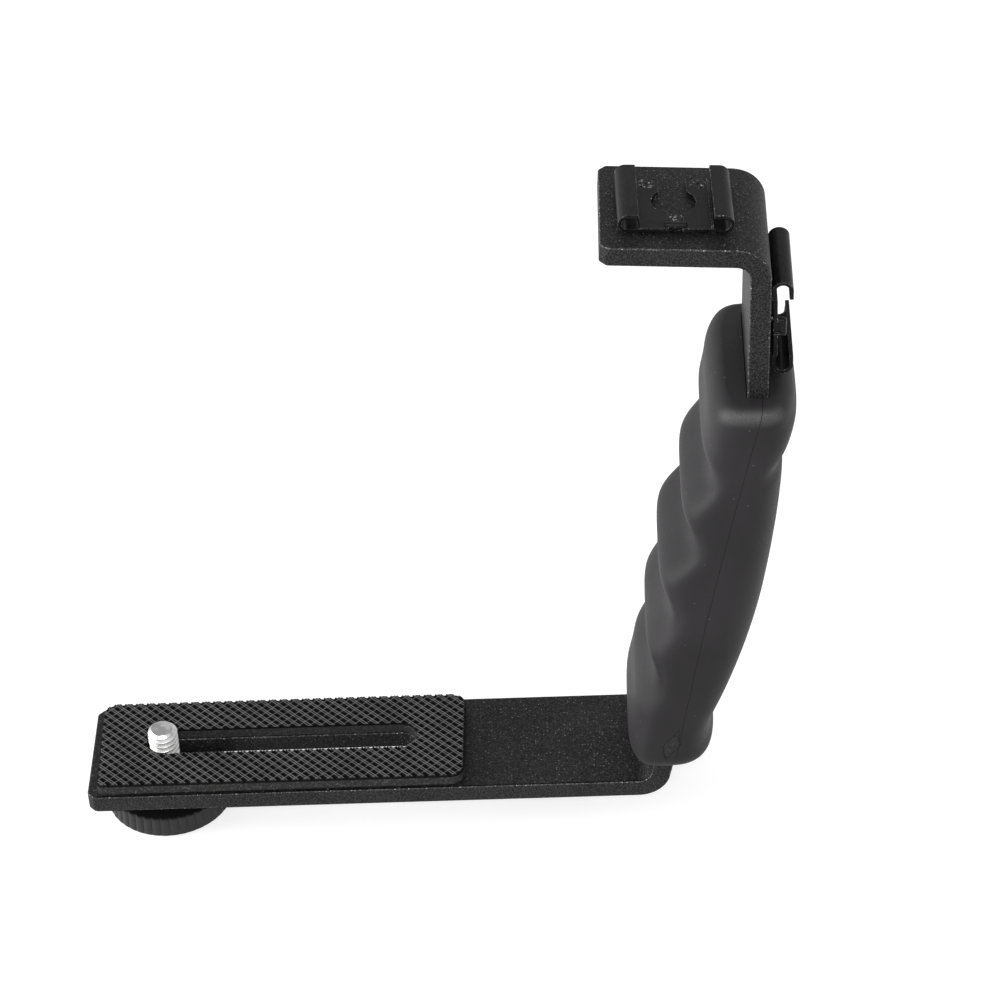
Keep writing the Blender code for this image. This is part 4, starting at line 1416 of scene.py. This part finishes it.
@dataclass
class Shoe:
    """Pressed accessory shoe with rolled lips, a keyhole, a stop and three countersunk screws."""

    path: BarPath
    name: str
    station: float
    twist: float
    width: float
    tilt: float = 0.0
    length: float = 16.6 * MM
    sheet: float = 0.8 * MM
    height: float = 4.1 * MM
    lip_gap: float = 14.0 * MM
    plateau_width: float = 13.4 * MM
    plateau_rise: float = 0.3 * MM
    forward: float = 0.5 * MM
    gap: float = 0.3 * MM
    keyhole_radius: float = 4.2 * MM
    keyhole_neck: float = 5.2 * MM
    keyhole_setback: float = 0.55 * MM
    stop_width: float = 4.4 * MM
    stop_rise: float = 1.7 * MM
    stop_share: float = 1.0
    stop_depth: float = 1.3 * MM
    stop_corner: float = 0.7 * MM
    edge: float = 0.12 * MM
    overrun: float = 1.0 * MM
    head_radius: float = 1.4 * MM
    head_height: float = 0.7 * MM
    shank_radius: float = 0.95 * MM
    bite: float = 2.6 * MM
    cross_arm: Point = (0.9, 0.22)
    cross_depth: float = 0.75 * MM
    first_turn: float = 0.5
    next_turn: float = 0.9
    spread: float = 4.85 * MM
    rear_edge: float = 2.0 * MM
    front_edge: float = 3.2 * MM
    finish: ShoeBlack = ShoeBlack()
    # Paler, sparkling finish on the bevelled edges: a painted highlight along them.
    edge_highlight_finish: PowderCoat = PowderCoat(
        "shoe edges with painted highlight",
        base=0.014,
        pale=0.12,
        spark=0.7,
        spark_chance=0.4,
        sparkle_size=0.7 * MM,
    )
    screw_finish: BlackenedScrew = BlackenedScrew()

    @property
    def floor(self) -> float:
        """Height of the raised floor over the shoe's underside."""
        return self.sheet + self.plateau_rise

    def frame(self) -> Matrix:
        """Frame of the shoe: X about along the bar, Y about to the front, Z outwards.

        Returns:
            The frame, as a matrix.
        """
        point, heading = self.path.at(self.station)
        outward = -across(heading)
        face = point + outward * self.path.thickness / 2
        lengthwise = along(heading)
        x_axis = Vector((lengthwise.x, 0.0, lengthwise.y))
        z_axis = Vector((outward.x, 0.0, outward.y))
        axes = Matrix((x_axis, z_axis.cross(x_axis), z_axis)).transposed().to_4x4()
        seat = Matrix.Translation((face.x, -self.forward, face.y)) @ axes @ Matrix.Rotation(self.twist, 4, "Z")
        upper_edge = Matrix.Translation((self.width / 2, 0.0, self.gap))
        back = Matrix.Translation((-self.width / 2, 0.0, 0.0))
        return seat @ upper_edge @ Matrix.Rotation(self.tilt, 4, "Y") @ back

    def screw_places(self) -> dict[str, Point]:
        """Screw centres from the shoe's middle.

        Returns:
            Centres by the name of the place.
        """
        rear = -self.length / 2 + self.rear_edge
        return {
            "rear_left": (self.spread, rear),
            "rear_right": (-self.spread, rear),
            "front": (0.0, self.length / 2 - self.front_edge),
        }

    def profile(self) -> list[Point]:
        """Outline of the pressed sheet across the shoe.

        Returns:
            Points in order.
        """
        roll = self.height / 2
        centre = (self.width / 2 - roll, roll)
        step_in = self.plateau_width / 2
        step_out = step_in + self.plateau_rise
        lip_end = self.lip_gap / 2
        outer = arc(centre, roll, -QUARTER, QUARTER, 28)
        inner = arc(centre, roll - self.sheet, QUARTER, -QUARTER, 24)
        under = [(step_in, self.plateau_rise), (step_out, 0.0)]
        lip = [(lip_end, self.height), (lip_end, self.height - self.sheet)]
        over = [(step_out, self.sheet), (step_in, self.floor)]
        right = under + outer + lip + inner + over
        return right + [(-x, z) for x, z in reversed(right)]

    def countersink(self, gap: float, above: float, below: float) -> list[Point]:
        """Profile of a countersunk hole down from the floor.

        Args:
            gap: Clearance round the screw.
            above: Reach above the floor.
            below: Reach below it.

        Returns:
            Points from the top down.
        """
        head = self.head_radius + gap
        shank = self.shank_radius + gap
        top = self.floor
        upper = [(0.0, top + above), (head, top + above), (head, top)]
        return upper + [(shank, top - self.head_height), (shank, top - below), (0.0, top - below)]

    def sheet_body(self) -> Piece:
        """The pressed sheet in its own frame, with the stop, keyhole and screw holes.

        Returns:
            The sheet.
        """
        shoe = flat_solid(f"{self.name}_body", [self.profile()], self.length / 2)
        shoe.data.transform(Matrix.Rotation(QUARTER, 4, "X"))
        front = self.length / 2
        half = self.stop_width / 2
        top = self.floor + self.stop_rise * self.stop_share
        low = (-half, front - self.stop_depth, self.floor - self.sheet / 2)
        stop = box_solid("stop", low, (half, front, top))
        stop = baked(soften(stop, self.stop_corner, 5, 40.0))
        shoe = combine(shoe, [stop], "UNION")
        over = self.overrun
        mouth = box_solid(
            "mouth",
            (self.sheet - half, front - self.stop_depth + self.sheet, -over),
            (half - self.sheet, front + over, top - self.sheet),
        )
        half_neck = self.keyhole_neck / 2
        opening = math.asin(half_neck / self.keyhole_radius)
        ends = (opening - QUARTER, 3 * QUARTER - opening)
        rim = arc((0.0, -self.keyhole_setback), self.keyhole_radius, *ends, 56)
        rear = -self.length / 2 - over
        keyhole = flat_solid("keyhole", [[*rim, (-half_neck, rear), (half_neck, rear)]], self.height / 2 + over)
        sinks = []
        for place in self.screw_places().values():
            sink = turned_solid("sink", self.countersink(self.edge, over, self.floor + over), 40)
            sink.location = (*place, 0.0)
            sinks.append(sink)
        shoe = combine(shoe, [mouth, keyhole, *sinks], "DIFFERENCE")
        return baked(soften(shoe, self.edge, 2, 40.0, False))

    def screw_body(self, name: str, turn: float) -> Piece:
        """One countersunk screw with a cross recess, in the shoe's frame but at its middle.

        Args:
            name: Name of the piece.
            turn: Angle at which the screw came to rest.

        Returns:
            The screw.
        """
        top, head, foot = self.floor, self.head_radius, -self.gap - self.bite
        profile = [(0.0, top), (head - self.edge, top), (head, top - self.edge)]
        profile += [(self.shank_radius, top - self.head_height), (self.shank_radius, foot), (0.0, foot)]
        screw = turned_solid(name, profile, 40)
        cone = [(0.0, top + head), (head * 1.05, top + head), (0.0, top - self.cross_depth)]
        arms = []
        for angle in (turn, turn + QUARTER):
            arm = turned_solid("arm", cone, 4)
            arm.data.transform(Matrix.Rotation(angle, 4, "Z") @ Matrix.Diagonal((*self.cross_arm, 1.0, 1.0)))
            arms.append(arm)
        return combine(screw, arms, "DIFFERENCE")

    def build(self) -> None:
        """Makes the shoe and its screws and dresses them."""
        seat = self.frame()
        shoe = self.sheet_body()
        shoe.matrix_world = seat
        # The edge material is the painted highlight along the shoe's bevelled edges.
        rubbed = self.edge_highlight_finish.material()
        dress(settled(shoe), self.finish.material(), Body.BRACKET, [self.name], 35.0, rubbed)
        metal = self.screw_finish.material()
        for index, (place_name, place) in enumerate(self.screw_places().items()):
            node = f"{self.name}_screw_{place_name}"
            screw = self.screw_body(f"{node}_body", self.first_turn + self.next_turn * index)
            screw.matrix_world = seat @ Matrix.Translation((*place, 0.0))
            dress(settled(screw), metal, Body.BRACKET, [node], 35.0)


# Thumb screw


@dataclass
class ThumbScrew:
    """Fluted knob, threaded stud and washer below the bar."""

    axis_x: float = -58.977 * MM
    knob_radius: float = 13.5 * MM
    rim_bottom: float = 0.0
    rim_top: float = 5.0 * MM
    rim_edge: float = 0.5 * MM
    rim_edge_steps: int = 4
    flutes: int = 44
    flute_depth: float = 0.45 * MM
    flute_points: int = 14
    flute_power: float = 0.6
    boss_radius: float = 7.5 * MM
    boss_top: float = 6.7 * MM
    boss_edge: float = 0.2 * MM
    recess_radius: float = 10.0 * MM
    recess_top: float = 0.8 * MM
    head_radius: float = 6.0 * MM
    head_height: float = 3.2 * MM
    head_edge: float = 0.15 * MM
    gap: float = 0.3 * MM
    overrun: float = 1.0 * MM
    stud_radius: float = 3.175 * MM
    stud_top: float = 18.8 * MM
    thread_pitch: float = 1.27 * MM
    thread_depth: float = 0.66 * MM
    thread_shares: Point = (0.14, 0.70)
    thread_around: int = 96
    thread_rows: int = 24
    tip_chamfer: float = 0.9 * MM
    washer_radius: float = 7.0 * MM
    washer_span: Point = (7.0 * MM, 7.8 * MM)
    washer_edge: float = 0.12 * MM
    steps: int = 72
    bore_steps: int = 48
    knob_finish: KnobPlastic = KnobPlastic()
    stud_finish: BrightSteel = BrightSteel()
    washer_finish: Nylon = Nylon()

    def place(self, made: Piece) -> Piece:
        """Moves a piece that was made about Z onto the screw's axis.

        Args:
            made: Piece to move.

        Returns:
            The same piece, settled.
        """
        made.location = (self.axis_x, 0.0, 0.0)
        bpy.context.view_layer.update()
        return settled(made)

    def flute_ring(self, inset: float, height: float) -> list[Place]:
        """One level ring of the fluted rim.

        Args:
            inset: How far it is drawn in.
            height: Height of the ring.

        Returns:
            Points in order.
        """
        count = self.flutes * self.flute_points
        ring = []
        for step in range(count):
            angle = 2 * math.pi * step / count
            wave = abs(math.cos(self.flutes * angle / 2)) ** self.flute_power
            fade = min(max(height / self.rim_top, 0.0), 1.0) ** self.flute_power
            reach = self.knob_radius - inset - self.flute_depth * (1 - wave) * fade
            ring.append((reach * math.cos(angle), reach * math.sin(angle), height))
        return ring

    def knob(self) -> Piece:
        """Knob with rounded rim edges, boss, recess and hexagonal pocket.

        Returns:
            The knob.
        """
        edge = self.rim_edge
        angles = [QUARTER * step / self.rim_edge_steps for step in range(self.rim_edge_steps + 1)]
        eases = [(edge * (1 - math.cos(angle)), edge * (1 - math.sin(angle))) for angle in angles]
        lower = [self.flute_ring(late, self.rim_bottom + early) for early, late in eases]
        upper = [self.flute_ring(early, self.rim_top - late) for early, late in eases]
        knob = lofted_solid("knob_body", lower + upper)
        middle = (self.rim_bottom + self.rim_top) / 2
        reach, high = self.boss_radius, self.boss_top
        rounded = [(reach - self.boss_edge, high), (reach, high - self.boss_edge)]
        profile = [(0.0, high), *rounded, (reach, middle), (0.0, middle)]
        knob = combine(knob, [turned_solid("boss", profile, self.steps)], "UNION")
        below, above = self.rim_bottom - self.overrun, self.boss_top + self.overrun
        pocket_top = self.recess_top + self.head_height + self.gap
        cuts = (
            ("recess", (self.recess_top, below, self.recess_radius), self.steps),
            ("pocket", (pocket_top, below, self.head_radius + self.gap), HEXAGON),
            ("bore", (above, self.recess_top, self.stud_radius + self.gap), self.bore_steps),
        )
        cutters = [turned_solid(name, block_profile(*size), steps) for name, size, steps in cuts]
        return combine(knob, cutters, "DIFFERENCE")

    def thread_radius(self, height: float, phase: float) -> float:
        """Radius of the threaded stud at a height, where the thread has a phase from crest to crest.

        Args:
            height: Height in metres.
            phase: Phase from 0 to 1.

        Returns:
            The radius.
        """
        crest, flank_width = self.thread_shares
        flank = min(max((1 - abs(2 * phase - 1) - crest) / flank_width, 0.0), 1.0)
        tip = self.stud_radius - self.tip_chamfer + (self.stud_top - height)
        return min(self.stud_radius - self.thread_depth * flank, tip)

    def stud(self) -> Piece:
        """Stud with a helical thread, a chamfered tip and a hexagon head.

        Returns:
            The stud.
        """
        low = self.recess_top + self.head_height / 2
        around, turn = self.thread_around, self.thread_rows
        foot = low - 1.1 * self.thread_pitch
        rows = math.ceil((self.stud_top - foot) / self.thread_pitch * turn) + 2
        shape = bmesh.new()
        columns = []
        for side in range(around):
            angle = 2 * math.pi * side / around
            column = []
            for row in range(rows + turn):
                height = foot + self.thread_pitch * (row / turn + side / around)
                place = min(max(height, low), self.stud_top)
                radius = self.thread_radius(place, row / turn % 1.0)
                if height > self.stud_top:
                    radius = self.stud_radius - self.tip_chamfer
                if height < low:
                    radius = self.stud_radius
                column.append(shape.verts.new((radius * math.cos(angle), radius * math.sin(angle), place)))
            columns.append(column)
        for side, column in enumerate(columns):
            lift = 0 if side < around - 1 else turn
            following = columns[(side + 1) % around]
            for row in range(rows - 1):
                ahead = row + lift
                shape.faces.new((column[row], following[ahead], following[ahead + 1], column[row + 1]))
        bmesh.ops.remove_doubles(shape, verts=shape.verts, dist=THREAD_WELD)
        bmesh.ops.holes_fill(shape, edges=[edge for edge in shape.edges if edge.is_boundary])
        bmesh.ops.recalc_face_normals(shape, faces=shape.faces)
        stud = shaped("stud_body", shape)
        high = self.recess_top + self.head_height
        head = turned_solid("head", block_profile(high, self.recess_top, self.head_radius), HEXAGON)
        return combine(stud, [baked(soften(head, self.head_edge, 2, 30.0))], "UNION")

    def washer(self) -> Piece:
        """Flat washer with softened rims.

        Returns:
            The washer.
        """
        low, high = self.washer_span
        bore, outer, edge = self.stud_radius + self.gap, self.washer_radius, self.washer_edge
        profile = [(bore, high), (outer - edge, high), (outer, high - edge)]
        profile += [(outer, low + edge), (outer - edge, low), (bore, low), (bore, high)]
        return turned_solid("washer_body", profile, self.steps)

    def build(self) -> None:
        """Makes the three pieces and dresses them."""
        screw = Body.THUMB_SCREW
        pieces = (
            (self.knob, self.knob_finish, screw, Slot.KNOB_PLASTIC, "knob", 40.0),
            (self.stud, self.stud_finish, screw, Slot.BRIGHT_STEEL, "screw_stud", 40.0),
            (self.washer, self.washer_finish, Body.WASHER, Slot.NYLON, "screw_washer", 35.0),
        )
        for make, finish, body, slot, node, angle in pieces:
            dress(self.place(make()), finish.material(), body, [node], angle)


# Studio


@dataclass(frozen=True)
class Lamp:
    """Square softbox of some size and power in watts, aimed at a point."""

    name: str
    place: Place
    size: float
    power: float
    aim: Place = (0.02, 0.0, 0.07)

    def build(self) -> None:
        """Adds the lamp."""
        data = bpy.data.lights.new(self.name, "AREA")
        data.shape = "SQUARE"
        data.size = self.size
        data.energy = self.power
        lamp = linked(self.name, data)
        lamp.location = self.place
        lamp.rotation_euler = (Vector(self.aim) - Vector(self.place)).to_track_quat("-Z", "Y").to_euler()


@dataclass
class Studio:
    """Pale floor, soft lights, white surroundings and the camera."""

    camera_place: Place = (43.56 * MM, -556.185 * MM, 538.794 * MM)
    yaw: float = -0.0503
    pitch: float = 0.6909
    roll: float = -0.0652
    focal_share: float = 3.6135
    sensor: float = 36.0
    nearest: float = 10 * MM
    soft_light: float = 0.46
    floor_reach: float = 6.0
    floor_drop: float = 0.4 * MM
    floor_level: float = 0.56
    floor_glow: float = 0.60
    lamps: tuple[Lamp, ...] = (
        Lamp("key", (-0.95, 0.0, 0.16), 0.8, 20.0, aim=(0.03, 0.0, 0.11)),
        Lamp("top", (-0.1, 0.25, 1.2), 0.9, 1.0),
        Lamp("front", (0.05, -0.88, 0.72), 0.35, 7.0),
        Lamp("right", (0.95, -0.3, 0.4), 0.7, 1.1),
    )

    def camera(self) -> None:
        """Sets the camera at the photograph's viewing angle."""
        ahead = Vector((math.sin(self.yaw), math.cos(self.yaw)))
        forward = Vector((*(ahead * math.cos(self.pitch)), -math.sin(self.pitch)))
        level = Vector((math.cos(self.yaw), -math.sin(self.yaw), 0.0))
        upright = level.cross(forward)
        right = math.cos(self.roll) * level + math.sin(self.roll) * upright
        up = math.cos(self.roll) * upright - math.sin(self.roll) * level
        data = bpy.data.cameras.new("camera")
        data.sensor_width = self.sensor
        data.sensor_fit = "HORIZONTAL"
        data.lens = self.focal_share * data.sensor_width
        data.clip_start = self.nearest
        camera = linked("camera", data)
        place = Matrix((right, up, -forward)).transposed().to_4x4()
        place.translation = self.camera_place
        camera.matrix_world = place
        bpy.context.scene.camera = camera

    @staticmethod
    def seen(tree: bpy.types.NodeTree) -> Socket:
        """Share of rays for which the surroundings are plain white: camera, mirror and glass rays.

        Args:
            tree: Node tree that gets the nodes.

        Returns:
            The share, 0 or 1.
        """
        path = tree.nodes.new("ShaderNodeLightPath")
        total = path.outputs["Is Camera Ray"]
        for name in ("Is Glossy Ray", "Is Transmission Ray"):
            add = tree.nodes.new("ShaderNodeMath")
            add.operation = "MAXIMUM"
            tree.links.new(total, add.inputs[0])
            tree.links.new(path.outputs[name], add.inputs[1])
            total = add.outputs[0]
        return total

    def surroundings(self) -> None:
        """World that lights softly and shows as white."""
        world = bpy.data.worlds.new("surroundings")
        bpy.context.scene.world = world
        world.use_nodes = True
        tree = world.node_tree
        soft = tree.nodes["Background"]
        white = tree.nodes.new("ShaderNodeBackground")
        for background, strength in ((soft, self.soft_light), (white, 1.0)):
            background.inputs["Color"].default_value = grey(1.0)
            background.inputs["Strength"].default_value = strength
        mix = tree.nodes.new("ShaderNodeMixShader")
        tree.links.new(self.seen(tree), mix.inputs[0])
        tree.links.new(soft.outputs[0], mix.inputs[1])
        tree.links.new(white.outputs[0], mix.inputs[2])
        tree.links.new(mix.outputs[0], tree.nodes["World Output"].inputs["Surface"])

    def floor(self) -> None:
        """Pale floor that keeps the shadow and otherwise shows as white."""
        shape = bmesh.new()
        bmesh.ops.create_grid(shape, x_segments=1, y_segments=1, size=self.floor_reach)
        floor = shaped("floor", shape)
        floor.location.z = -self.floor_drop
        w = Wiring("pale floor")
        w.finish(Base_Color=grey(self.floor_level), Roughness=0.9, Specular_IOR_Level=0.1)
        glow = w.tree.nodes.new("ShaderNodeEmission")
        glow.inputs["Color"].default_value = grey(1.0)
        w.link(w.product(self.seen(w.tree), self.floor_glow), glow.inputs["Strength"])
        add = w.tree.nodes.new("ShaderNodeAddShader")
        w.tree.links.new(w.shader.outputs[0], add.inputs[0])
        w.tree.links.new(glow.outputs[0], add.inputs[1])
        w.tree.links.new(add.outputs[0], w.tree.nodes["Material Output"].inputs["Surface"])
        floor.data.materials.append(w.material)

    def build(self) -> None:
        """Sets up the whole studio."""
        self.camera()
        self.surroundings()
        self.floor()
        for lamp in self.lamps:
            lamp.build()
        bpy.context.scene.view_settings.view_transform = "Standard"


def main() -> None:
    """Builds every piece in order."""
    logging.basicConfig(level=logging.INFO, format="%(name)s %(message)s")
    Studio().build()
    path = BarPath()
    Bar(path).build()
    Pad(path).build()
    Grip(path).build()
    top_place = path.length - 14.0 * MM
    side_place = path.platform_corner - 18.9 * MM
    Shoe(path, "top_shoe", top_place, width=21.8 * MM, twist=math.radians(1.5), stop_share=0.62).build()
    tilt = math.radians(1.4)
    Shoe(path, "side_shoe", side_place, width=22.6 * MM, twist=math.radians(3.8), tilt=tilt).build()
    ThumbScrew().build()


if __name__ == "__main__":
    main()
